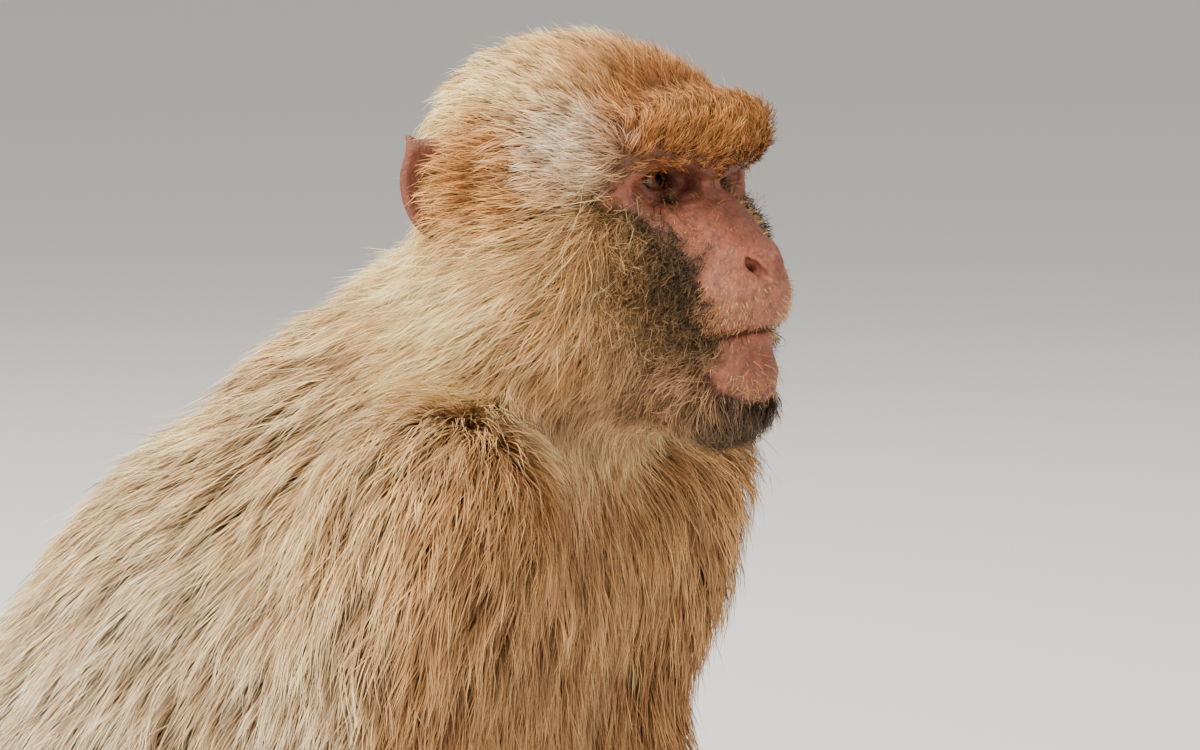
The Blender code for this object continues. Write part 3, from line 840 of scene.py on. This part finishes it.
def make_skin():
    parts = [body_skin(), head_mesh] + [paw_skin(paw) for paw in PAWS]
    corners, triangles, quads = joined_meshes(parts)
    skin = mesh_object("skin", corners, [triangles, quads], LOOKS["skin"])
    paint(skin, "MarkingsAndShade", skin_colour(corners))
    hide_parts(*FLESH)
    return skin


# Eyes, ears and nails --------------------

IRIS_ANGLE, PUPIL_ANGLE, GAZE_LIFT = 38.0, 13.0, 9.0  # in degrees
CORNEA_RISE, WHITE_SINK = 0.75, 0.25  # millimetres that the cornea stands out, and that the rest lies in
PUPIL_BLACK, WHITE_BROWN = srgb(8, 6, 5), srgb(62, 40, 28)


def make_eye(side):
    """An eyeball with a raised cornea, an amber-brown iris and a brown white."""
    rings = np.radians(np.concatenate([np.linspace(0.5, 44, 44), np.linspace(48, 179, 26)]))
    turns = np.linspace(0, 2 * np.pi, 64, endpoint=False)
    ring, turn = crossed(rings, turns)
    angle = np.degrees(ring)
    radius = (EYE_RADIUS - WHITE_SINK + CORNEA_RISE * (1 - ramp(angle, 20, 46))) * MM
    local = np.column_stack([np.sin(ring) * np.cos(turn), np.cos(ring), np.sin(ring) * np.sin(turn)])
    gaze = HEAD_AXES @ np.array(Matrix.Rotation(math.radians(GAZE_LIFT), 3, "X"))
    corners = EYES[side] + (radius[:, None] * local) @ gaze.T
    index, after, quads = ring_quads(len(rings), len(turns))
    front, back = (np.full(len(turns), len(corners) + pole) for pole in (0, 1))
    front_cap = np.stack([after[0], index[0], front], axis=-1)
    back_cap = np.stack([index[-1], after[-1], back], axis=-1)
    front_reach, back_reach = EYE_RADIUS - WHITE_SINK + CORNEA_RISE, WHITE_SINK - EYE_RADIUS
    poles = EYES[side] + np.array([front_reach * MM * gaze[:, 1], back_reach * MM * gaze[:, 1]])
    rays = 0.5 + 0.5 * np.sin(turn * 23 + 2 * np.sin(turn * 7))
    colours = srgb(92, 52, 24) * (0.7 + 0.5 * rays)[:, None]
    colours = mixed(colours, srgb(34, 20, 12), ramp(angle, 27, IRIS_ANGLE))
    colours = mixed(colours, WHITE_BROWN, ramp(angle, IRIS_ANGLE, IRIS_ANGLE + 3))
    colours = mixed(colours, PUPIL_BLACK, ramp(-angle, -PUPIL_ANGLE - 1.5, -PUPIL_ANGLE))
    faces = [np.concatenate([front_cap, back_cap]), quads]
    eye = mesh_object("eyeball_" + SIDES[side], np.vstack([corners, poles]), faces, LOOKS["eye"])
    paint(eye, "MarkingsAndShade", np.vstack([colours, PUPIL_BLACK, WHITE_BROWN]))
    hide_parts("eye_" + SIDES[side])
    return eye


EAR_PLACE, EAR_TURN, EAR_LEAN = (64.0, -70.5, -4.0), 38, 12  # the left ear's middle, and its turns in degrees


def make_ear(side):
    """An upright leaf of thin skin, with a rolled rim, a pointed tip and a hollow in front."""
    centre = np.array(EAR_PLACE) * (side, 1, 1)
    outward = Matrix.Rotation(side * math.radians(EAR_TURN), 3, "Z")
    turn = np.array(outward @ Matrix.Rotation(math.radians(EAR_LEAN), 3, "X"))
    reach = np.array((24, 24, 30)) * MM
    place = from_head(centre)
    grid = grid_around(place - reach, place + reach, EAR_CELL, 0.0)
    q = ((to_head(grid_points(grid)) - centre) @ turn) * (side, 1, 1)
    leaf = ellipsoid(q, (0, 0, 0), (4.6, 14.5, 21.5))
    leaf = joined(leaf, capsule(q, (0, -3, 12), (0, -6.5, 23.5), 3.4, 1.2), 5)
    leaf = joined(leaf, capsule(q, (-2, 8, -4), (-12, 10, -2), 9, 10), 5)
    leaf = carved(leaf, ellipsoid(q, (5.2, 0, 1.0), (6.2, 12.0, 18.5)), 1.2)
    leaf = joined(leaf, capsule(q, (1.2, 3, 12), (0.8, -6, -6), 1.3, 1.6), 1.6)
    leaf = joined(leaf, ellipsoid(q, (2.4, 9.5, -3.0), (3.0, 2.6, 4.4)), 2.0)
    leaf = carved(leaf, capsule(q, (2.0, 5.0, -4.0), (-6.0, 5.0, -4.0), 3.4, 2.4), 1.0)
    corners, triangles, quads = surface(leaf * MM, grid)
    ear = mesh_object("ear_skin_" + SIDES[side], corners, [triangles, quads], LOOKS["ear"])
    local = ((to_head(corners) - centre) @ turn) * (side, 1, 1)
    # Painted shade: the ear's brown skin is given its shaded tone, and darkens further towards the middle of
    # the leaf round its hollow.
    hollow_shade = ramp(-np.abs(local[:, 1]) / 12 - np.abs(local[:, 2]) / 20, -1.0, 0.2)
    colours = mixed(srgb(112, 62, 42), srgb(74, 38, 28), hollow_shade)
    paint(ear, "MarkingsAndShade", colours * (1 + 0.1 * ripple(corners, 0.008, 8))[:, None])
    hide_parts("ear_" + SIDES[side])
    return ear


# The digits in metres: the paw's turn outwards in degrees, where the digits start, their lengths and radius,
# the thumb's base and tip, each as (outward, forward), and its radius.
Digits = namedtuple("Digits", "toe_out start lengths radius thumb thumb_radius")
DIGITS = {
    "hand": Digits(6, 0.050, (0.038, 0.044, 0.042, 0.034), 0.0075, ((-0.022, 0.014), (-0.037, 0.040)), 0.008),
    "foot": Digits(12, 0.076, (0.034, 0.038, 0.036, 0.030), 0.008, ((-0.021, 0.026), (-0.043, 0.066)), 0.010),
}
DIGIT_PITCH, DIGIT_SPREAD, DIGIT_TAPER = 0.0112, 1.45, 0.72
TIP_HEIGHT, THUMB_HEIGHT, DIGIT_FALL = 0.0048, 0.0062, -0.16


def nail_plate(tip, ahead, radius):
    """A curved plate over a digit's tip, closed all round."""
    up = np.array((0, 0, 1.0))
    side = unit(np.cross(ahead, up))
    top = np.cross(side, ahead)
    across, along = crossed(np.linspace(-1, 1, 9), np.linspace(0, 1, 9))
    angle = across * math.radians(56) * np.sqrt(1 - 0.75 * (2 * along - 1) ** 2)
    sheets = []
    for lift in (0.0005, -0.0006):
        reach = radius * (1.02 - 0.14 * along**2) + lift
        around = np.cos(angle)[:, None] * top + np.sin(angle)[:, None] * side
        sheets.append(tip + ((2.1 * along - 0.9) * radius)[:, None] * ahead + reach[:, None] * around)
    index = np.arange(81).reshape(9, 9)
    quads = np.stack([index[:-1, :-1], index[1:, :-1], index[1:, 1:], index[:-1, 1:]], axis=-1).reshape(-1, 4)
    rim = np.concatenate([index[:, 0], index[-1, 1:], index[-2::-1, -1], index[0, -2:0:-1]])
    after = np.roll(rim, -1)
    edge = np.stack([rim, rim + 81, after + 81, after], axis=-1)
    return np.concatenate(sheets), np.empty((0, 3), int), np.concatenate([quads, quads[:, ::-1] + 81, edge])


def make_nails():
    """Twenty nails, placed from each paw's own axes."""
    plates = []
    for paw in PAWS:
        kind, word = paw.split("_")
        digits = DIGITS[kind]
        side = 1 if word == "left" else -1
        turn = side * math.radians(digits.toe_out)
        forward = np.array((math.sin(turn), -math.cos(turn), 0))
        outward = np.array((side * math.cos(turn), side * math.sin(turn), 0))
        corners = node_mesh(paw)[0].astype(float)
        tip_radius = digits.radius * DIGIT_TAPER
        front = digits.start + max(digits.lengths) + tip_radius
        breadth = 1.5 * DIGIT_PITCH * DIGIT_SPREAD + tip_radius
        origin = forward * ((corners @ forward).max() - front)
        origin = origin + outward * ((corners @ outward).max() - breadth)
        for number, length in enumerate(digits.lengths):
            base = DIGIT_PITCH * (number - 1.5)
            ahead = unit(forward * length + outward * base * (DIGIT_SPREAD - 1) + (0, 0, DIGIT_FALL * length))
            place = origin + forward * (digits.start + length) + outward * base * DIGIT_SPREAD
            tip = place + (0, 0, TIP_HEIGHT)
            plates.append(nail_plate(tip, ahead, tip_radius))
        (base_out, base_on), (tip_out, tip_on) = digits.thumb
        ahead = unit(forward * (tip_on - base_on) + outward * (tip_out - base_out) + (0, 0, -0.004))
        tip = origin + forward * tip_on + outward * tip_out + (0, 0, THUMB_HEIGHT)
        plates.append(nail_plate(tip, ahead, digits.thumb_radius * DIGIT_TAPER))
    corners, triangles, quads = joined_meshes(plates)
    corners[:, 2] = np.maximum(corners[:, 2], 0.0003)
    nails = mesh_object("nails", corners, [triangles, quads], LOOKS["nail"])
    paint(nails, "MarkingsAndShade", srgb(50, 40, 34) * (1 + 0.2 * ripple(corners, 0.01, 4))[:, None])
    return nails


# The coat --------------------

GUIDE_STEPS = 6
TIP_SINK, TIP_SPREAD = 0.0015, 0.0018  # how far under the outline locks end, and how much that varies
ROOT_SINK = 0.0010  # how deep strands are rooted
HAIR_RISE, STRAND_RISE = 0.0012, 0.0006  # how high over the floor locks and strands stay
STRAY, STRAY_MORE = 0.05, 1.8  # the share of strands that leave their lock, and how much more they drift
DRIFT_LIMIT = 0.32  # the furthest a strand's tip drifts off, as a share of its length
FACING_SPREAD = 0.55  # how much blades turn out of the skin's plane
TONE_SPREAD, DARK_SHARE, DARK_TONE = 0.23, 0.13, 0.55  # how locks differ, how many are dark, and how dark
PLAN_CELL = 0.007
PATCH_SIZE, PATCH_SPREAD = 0.003, 0.0008  # a strand's patch of colour on the map, and how far patches scatter


def unwrapped_skin():
    """A coarse skin with a map, for scattering the locks and for placing their patches."""
    grid = grid_around(*CAD_BOX, PLAN_CELL, BODY_MARGIN)
    points = grid_points(grid)
    corners, triangles, quads = surface(OUTLINE.at(points) + DEPTH.at(points), grid)
    plan = mesh_object("plan", corners, [triangles, quads], LOOKS["skin"])
    bpy.context.view_layer.objects.active = plan
    plan.select_set(True)
    bpy.ops.object.mode_set(mode="EDIT")
    bpy.ops.mesh.select_all(action="SELECT")
    bpy.ops.mesh.quads_convert_to_tris()
    bpy.ops.uv.smart_project(angle_limit=1.15, island_margin=0.004, scale_to_bounds=True)
    bpy.ops.object.mode_set(mode="OBJECT")
    mesh = plan.data
    places = fetched(mesh.vertices, "co", 3)
    loops = fetched(mesh.loops, "vertex_index", 1, np.int32)[:, 0]
    maps = fetched(mesh.uv_layers.active.uv, "vector", 2)
    bpy.data.objects.remove(plan)
    return places[loops].reshape(-1, 3, 3), maps.reshape(-1, 3, 2)


def scatter(triangles, maps, wanted, weight, rng):
    """Random points on the skin, as thick as weight says, with their places on the map."""

    def chance(points):
        places = to_head(points)
        return weight(points, places, mirrored(places)) + TRACE

    edges = triangles[:, 1:] - triangles[:, :1]
    areas = np.linalg.norm(np.cross(edges[:, 0], edges[:, 1]), axis=1) / 2
    likely = np.max([chance(triangles[:, i]) for i in range(3)] + [chance(triangles.mean(axis=1))], axis=0)
    odds = areas * likely
    chosen = rng.choice(len(triangles), size=3 * wanted, p=odds / odds.sum())
    shares = rng.dirichlet((1, 1, 1), size=3 * wanted)
    points = (shares[:, :, None] * triangles[chosen]).sum(axis=1)
    for _ in range(3):
        points = points - skin_distance(points)[:, None] * OUTLINE.slope(points)
    odds = chance(points) / likely[chosen]
    kept = rng.choice(3 * wanted, size=wanted, replace=False, p=odds / odds.sum())
    return points[kept], (shares[:, :, None] * maps[chosen]).sum(axis=1)[kept]


def skin_distance(points):
    """The distance from the bare skin, from the fine field where there is one."""
    coarse = OUTLINE.at(points) + DEPTH.at(points)
    fine = HEAD_FIELD.at(points)
    grid = HEAD_FIELD.grid
    high = grid.low + grid.cell * (np.array(grid.counts) - 1)
    inside = ((points > grid.low + 0.003) & (points < high - 0.003)).all(axis=1)
    return np.where(inside & (neck_cut(points) > 0.004), fine, coarse)


def guides(roots, lengths, lifts, kind, rng):
    """Each lock's path: out of the skin and along the comb, to the outline or as high as the lock lifts."""
    measure = skin_distance if kind.free else OUTLINE.at
    start = measure(roots)
    if kind.free:
        high = start + lengths * np.sin(np.radians(lifts)) * 0.9
    else:
        high = np.maximum(rng.normal(-TIP_SINK, TIP_SPREAD, len(roots)) + 0.10 * start, start)
    path = [roots]
    place = roots.copy()
    sway = rng.normal(0, kind.sway, (len(roots), 3))
    for step in range(1, GUIDE_STEPS + 1):
        share = step / GUIDE_STEPS
        normal = OUTLINE.slope(place)
        comb = comb_at(place) + sway
        comb = unit(comb - (comb * normal).sum(axis=1, keepdims=True) * normal)
        place = place + comb * (lengths / GUIDE_STEPS * np.cos(np.radians(lifts)))[:, None]
        rise = 1 - (1 - share) ** (1.3 + lifts / 30)
        target = start + (high - start) * rise
        place = place + normal * (target - measure(place))[:, None]
        place[:, 2] = np.maximum(place[:, 2], HAIR_RISE)
        path.append(place)
    return np.stack(path, axis=1)


# How a piece of the coat grows: its locks and their strands, the lock's radius and the strand's width in
# metres, how far tips close up, how much strands drift and curl and locks sway, a strand's segments, whether
# locks leave the outline alone, their stretch and contrast, and a tint of their own.
KIND = "locks strands radius width clump frizz curl sway segments free stretch contrast tint"
Kind = namedtuple("Kind", KIND, defaults=(None,))


def spines(roots, normal, path, lengths, lock, levels, kind, rng):
    """Each strand's line: along its lock's path, apart at the root and drawn together at the tip."""
    count = len(lock)
    side_a = unit(np.cross(normal, comb_at(roots)))
    side_b = np.cross(normal, side_a)
    spread = rng.normal(0, kind.radius, (count, 2))
    offset = spread[:, :1] * side_a[lock] + spread[:, 1:] * side_b[lock]
    size = rng.uniform(0.70, 1.08, count)
    stray = 1 + STRAY_MORE * (rng.random((count, 1)) < STRAY)
    beside = bell(mirrored(to_head(roots)), FRIZZ_MIDDLE, FRIZZ_RADII)
    wild = (1 + FRIZZ_MORE * (not kind.free) * beside)[lock, None]
    drift = rng.normal(0, kind.frizz, (count, 3)) * (stray + wild - 1)
    drift *= np.minimum(1, DRIFT_LIMIT / np.linalg.norm(drift, axis=1, keepdims=True))
    drift *= lengths[lock, None]
    spine = []
    for level in levels:
        along = np.clip(level * size * GUIDE_STEPS, 0, GUIDE_STEPS - 1e-6)
        base = along.astype(int)
        share = (along - base)[:, None]
        point = path[lock, base] * (1 - share) + path[lock, base + 1] * share
        curl = rng.normal(0, kind.curl, (count, 3)) * lengths[lock, None] * wild * min(level, 0.5) * 2
        point = point + offset * (1 - kind.clump * level) + drift * level**1.6 + curl
        point[:, 2] = np.maximum(point[:, 2], STRAND_RISE)
        spine.append(point)
    spine[0] = spine[0] - normal[lock] * ROOT_SINK
    return np.stack(spine, axis=1)


def blades(spine, normal, levels, kind, rng):
    """A thin blade along each strand: its corners, its faces, and the corners' places on its patch."""
    count = len(spine)
    tangent = unit(np.gradient(spine, axis=1))
    facing = unit(normal + rng.normal(0, FACING_SPREAD, (count, 3)))
    across = unit(np.cross(tangent, facing[:, None, :]))
    width = kind.width * rng.uniform(0.7, 1.25, count)
    corners, patch = [], []
    for index, level in enumerate(levels[:-1]):
        share = 1 - level**2
        half = across[:, index] * (width * share / 2)[:, None]
        corners += [spine[:, index] - half, spine[:, index] + half]
        patch += [(0.5 - share / 2, level), (0.5 + share / 2, level)]
    corners = np.stack(corners + [spine[:, -1]], axis=1)
    size = corners.shape[1]
    first = np.arange(count)[:, None] * size
    quads = [first + (2 * i, 2 * i + 1, 2 * i + 3, 2 * i + 2) for i in range(kind.segments - 1)]
    tips = first + (size - 3, size - 2, size - 1)
    corners = corners.reshape(-1, 3)
    corners[:, 2] = np.maximum(corners[:, 2], FLOOR_GAP)
    return corners, [tips, np.concatenate(quads)], patch + [(0.5, 1.0)]


def grow(name, kind, triangles, maps, weight, seed):
    """One piece of the coat: locks of thin blades, each lock drawn to a point."""
    rng = np.random.default_rng(seed)
    roots, places = scatter(triangles, maps, kind.locks, weight, rng)
    shares = zone_shares(roots)
    lengths = blend_of(shares, lambda zone: zone_named(zone).length)[:, 0] * MM * kind.stretch
    lengths *= rng.uniform(0.75, 1.15, len(roots))
    lifts = blend_of(shares, lambda zone: zone_named(zone).lift)[:, 0] * rng.uniform(0.6, 1.45, len(roots))
    path = guides(roots, lengths, lifts, kind, rng)
    lock = np.repeat(np.arange(len(roots)), kind.strands)
    levels = np.linspace(0, 1, kind.segments + 1)
    normal = OUTLINE.slope(roots)
    spine = spines(roots, normal, path, lengths, lock, levels, kind, rng)
    corners, faces, patch = blades(spine, normal[lock], levels, kind, rng)
    piece = mesh_object(name, corners, faces, LOOKS["coat"])
    paint(piece, "MarkingsAndShade", strand_colours(roots, shares, lock, levels, kind, rng))
    layer = piece.data.uv_layers.new(name="OFBake")
    corner_of_loop = np.concatenate([block.ravel() for block in faces])
    spots = places[lock] + rng.normal(0, PATCH_SPREAD, (len(lock), 2))
    mapped = (spots[:, None, :] + np.array(patch) * PATCH_SIZE).reshape(-1, 2)[corner_of_loop]
    layer.uv.foreach_set("vector", np.clip(mapped, 0, 1).astype(np.float32).ravel())
    return piece


def strand_colours(roots, shares, lock, levels, kind, rng):
    """A colour for each strand's corners, from its root through its middle to its tip."""
    tone = 1 + TONE_SPREAD * rng.normal(size=(len(roots), 1))
    tone *= np.where(rng.random((len(roots), 1)) < DARK_SHARE, DARK_TONE, 1.0)
    own = np.exp(np.clip(kind.contrast * rng.normal(size=(len(lock), 1)), -1.2, 0.6))
    if kind.tint:
        bands = [np.tile(TINTS[kind.tint][1], (len(roots), 1))] * 3
    else:
        bands = coat_bands(roots, shares)
    root, middle, tip = (np.clip(band[lock] * tone[lock] * own, 0.004, 0.92) for band in bands)
    colours = []
    for level in levels:
        lower = np.clip(level / 0.55, 0, 1)
        upper = np.clip((level - 0.55) / 0.45, 0, 1)
        shade = root + lower * (middle - root) + upper * (tip - middle)
        colours += [shade] if level == 1 else [shade, shade]
    return np.stack(colours, axis=1).reshape(-1, 3)


# Where each piece of the coat grows: 0 for nowhere, more for thicker. Places are the points in the head's
# millimetres, and mirror has them all on its left.


def on_body(points, places, mirror):
    hidden = ramp(-OUTLINE.slope(points)[:, 2], 0.3, 0.9)
    wrist = 1 + 2 * np.exp(-np.clip(paw_distance(points), 0, None) / 0.03)
    clear = ramp(paw_distance(points), -0.008, 0.006)
    crest = 1 + 2.5 * bell(mirror, SHOULDER_CREST, (30, 42, 24))
    return (1 - headness(places)) * clear * wrist * crest * (1 - 0.5 * hidden)


def on_paws(points, places, mirror):
    """Short hair on the backs of the hands and feet, as far as the knuckles."""
    near = np.zeros(len(points))
    for paw in PAWS:
        start, end, radius = BONES[paw]
        along = (points - start) @ (end - start) / ((end - start) @ (end - start))
        beside = ramp(-bone_distance(points, BONES[paw]), -0.016, -0.006)
        near = np.maximum(near, beside * ramp(-along, -0.95, -0.5))
    return near * ramp(OUTLINE.slope(points)[:, 2], -0.3, 0.2) * ramp(points[:, 2], 0.004, 0.012)


def off_eyes(mirror):
    """0 on the eyes and the lids' edges, 1 away from them."""
    reach = np.linalg.norm((mirror - (EYE_OFFSET, 1, 1)) / np.array((16, 22, 10.5)), axis=1)
    return ramp(reach, 0.92, 1.12)


def on_head(points, places, mirror):
    crest = 1 + 2 * bell(mirror, SHOULDER_CREST, (36, 42, 24))
    clear = (1 - bareness(places)) * off_eyes(mirror)
    return headness(places) * clear * crest * ramp(places[:, 1], 18, -8)


def on_face(points, places, mirror):
    """The brow, temples, beard and the edge of the coat round the face."""
    clear = (1 - bareness(places)) * (1 - 0.85 * cheek_dark(places)) * off_eyes(mirror)
    upward = ramp(HEAD_FIELD.slope(points)[:, 2], -0.98, -0.65) + ramp(-places[:, 2], 10, 20)
    return headness(places) * clear * np.clip(upward, 0, 1) * ramp(places[:, 1], -22, 0)


def on_cheek(points, places, mirror):
    """The dark patch, thinning out forwards, and a few hairs under the eye."""
    thin = 0.08 * bell(mirror, (34, 12, -14), (12, 12, 8))
    patch = cheek_dark(places) * (0.35 + 0.65 * ramp(-places[:, 1], -40, -20)) + thin
    orbit = np.clip(1.4 * bell(mirror, (20, 10, 0), (19, 16, 10)), 0, 1)
    return headness(places) * patch * (1 - orbit) * off_eyes(mirror)


def on_ear_front(points, places, mirror):
    """Tufts that rise over the front of each ear."""
    return bell(mirror, (62, -50, -4), (16, 9, 16))


def on_muzzle(points, places, mirror):
    """Short pale bristles on the upper lip, the chin and the sides of the muzzle."""
    lower = bell(mirror, (16, 42, -50), (12, 16, 9)) + 0.2 * bell(mirror, (10, 48, -80), (16, 12, 8))
    corner = 0.6 * bell(mirror, (23, 31, -56), (8, 12, 8))
    return lower + corner + 0.3 * bell(mirror, (26, 24, -22), (14, 14, 12)) * off_eyes(mirror)


COAT = {
    "body": (5, on_body, Kind(3300, 9, 0.0034, 0.00064, 0.60, 0.042, 0.008, 0.16, 3, False, 1.0, 0.20)),
    "head": (2, on_head, Kind(3700, 10, 0.0023, 0.00046, 0.55, 0.048, 0.010, 0.18, 3, False, 1.0, 0.20)),
    "face": (1, on_face, Kind(5200, 7, 0.0013, 0.00036, 0.35, 0.100, 0.020, 0.28, 3, True, 1.0, 0.32)),
    "cheek": (1, on_cheek, Kind(3600, 4, 0.0012, 0.00032, 0.20, 0.250, 0.120, 0.45, 4, True, 0.9, 0.6)),
    "bristle": (1, on_muzzle, Kind(4200, 1, 0.0006, 0.00016, 0, 0.2, 0.03, 0.50, 2, True, 0.42, 0.3, "tan")),
    "ear": (1, on_ear_front, Kind(500, 6, 0.0014, 0.00040, 0.40, 0.070, 0.012, 0.20, 3, True, 1.2, 0.25)),
    "paw": (1, on_paws, Kind(3400, 4, 0.0013, 0.00055, 0.30, 0.060, 0.010, 0.20, 3, True, 1.0, 0.3)),
}


def make_coat():
    triangles, maps = unwrapped_skin()
    pieces = []
    for number, (part, (count, weight, kind)) in enumerate(COAT.items()):
        for copy in range(count):
            seed = SEED + 20 * number + copy
            pieces.append(grow(f"{part}_coat_{copy}", kind, triangles, maps, weight, seed))
    return pieces


# The stage --------------------


def make_stage():
    """A round floor that rises like a bowl far from the model."""
    reach = np.concatenate([[0.0, 4.0], np.linspace(4.5, 16, 24)])
    turns = np.linspace(0, 2 * np.pi, 96, endpoint=False)
    ring, turn = crossed(reach, turns)
    rise = 0.02 * np.clip(ring - 4, 0, None) ** 2
    corners = np.column_stack([ring * np.cos(turn), ring * np.sin(turn), rise])
    look = new_look("floor", 0.8, Base_Color=(0.74, 0.72, 0.69, 1))
    quads = ring_quads(len(reach), len(turns))[2]
    mesh_object("floor", corners, [quads], look)


LIGHT_AIM = (0, 0, 0.3)


def add_light(name, power, size, place, colour=(1, 1, 1)):
    lamp = bpy.data.lights.new(name, "AREA")
    lamp.energy, lamp.size, lamp.color = power, size, colour
    made = add_object(name, lamp)
    made.location = place
    aim = Vector(LIGHT_AIM) - Vector(place)
    made.rotation_euler = aim.to_track_quat("-Z", "Y").to_euler()


def make_lights():
    world = bpy.data.worlds.new("studio")
    bpy.context.scene.world = world
    world.use_nodes = True
    set_inputs(world.node_tree.nodes["Background"], Color=(0.92, 0.90, 0.88, 1), Strength=0.66)
    add_light("key", 250, 1.8, (-1.5, 1.2, 2.6), (1, 0.97, 0.92))
    add_light("fill", 36, 2.2, (-1.6, -2.0, 1.2), (1, 0.98, 0.95))
    add_light("rim", 30, 1.4, (1.4, 0.6, 2.6))


CAMERA_TURN, CAMERA_RISE = -62.0, 7.0  # in degrees
CAMERA_LENS, CAMERA_DISTANCE = 105.0, 1.435
FRAME_CENTRE = (-0.028, -0.080)  # the middle of the view from the eyes, along the view's right and up


def make_camera():
    turn, rise = math.radians(CAMERA_TURN), math.radians(CAMERA_RISE)
    right = Vector((math.cos(turn), math.sin(turn), 0))
    back = Vector((math.sin(turn) * math.cos(rise), -math.cos(turn) * math.cos(rise), math.sin(rise)))
    up = back.cross(right)
    centre = Vector(HEAD_ORIGIN) + FRAME_CENTRE[0] * right + FRAME_CENTRE[1] * up
    lens = bpy.data.cameras.new("camera")
    lens.lens, lens.sensor_width = CAMERA_LENS, 36
    camera = add_object("camera", lens)
    axes = Matrix((right, up, back)).transposed().to_4x4()
    camera.matrix_world = Matrix.Translation(centre + back * CAMERA_DISTANCE) @ axes
    bpy.context.scene.camera = camera


make_camera()
make_stage()
make_lights()
pieces = [make_skin()]
pieces += [make(side) for side in SIDES for make in (make_eye, make_ear)]
pieces += [make_nails(), *make_coat()]
for piece in pieces:
    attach(piece, "root")
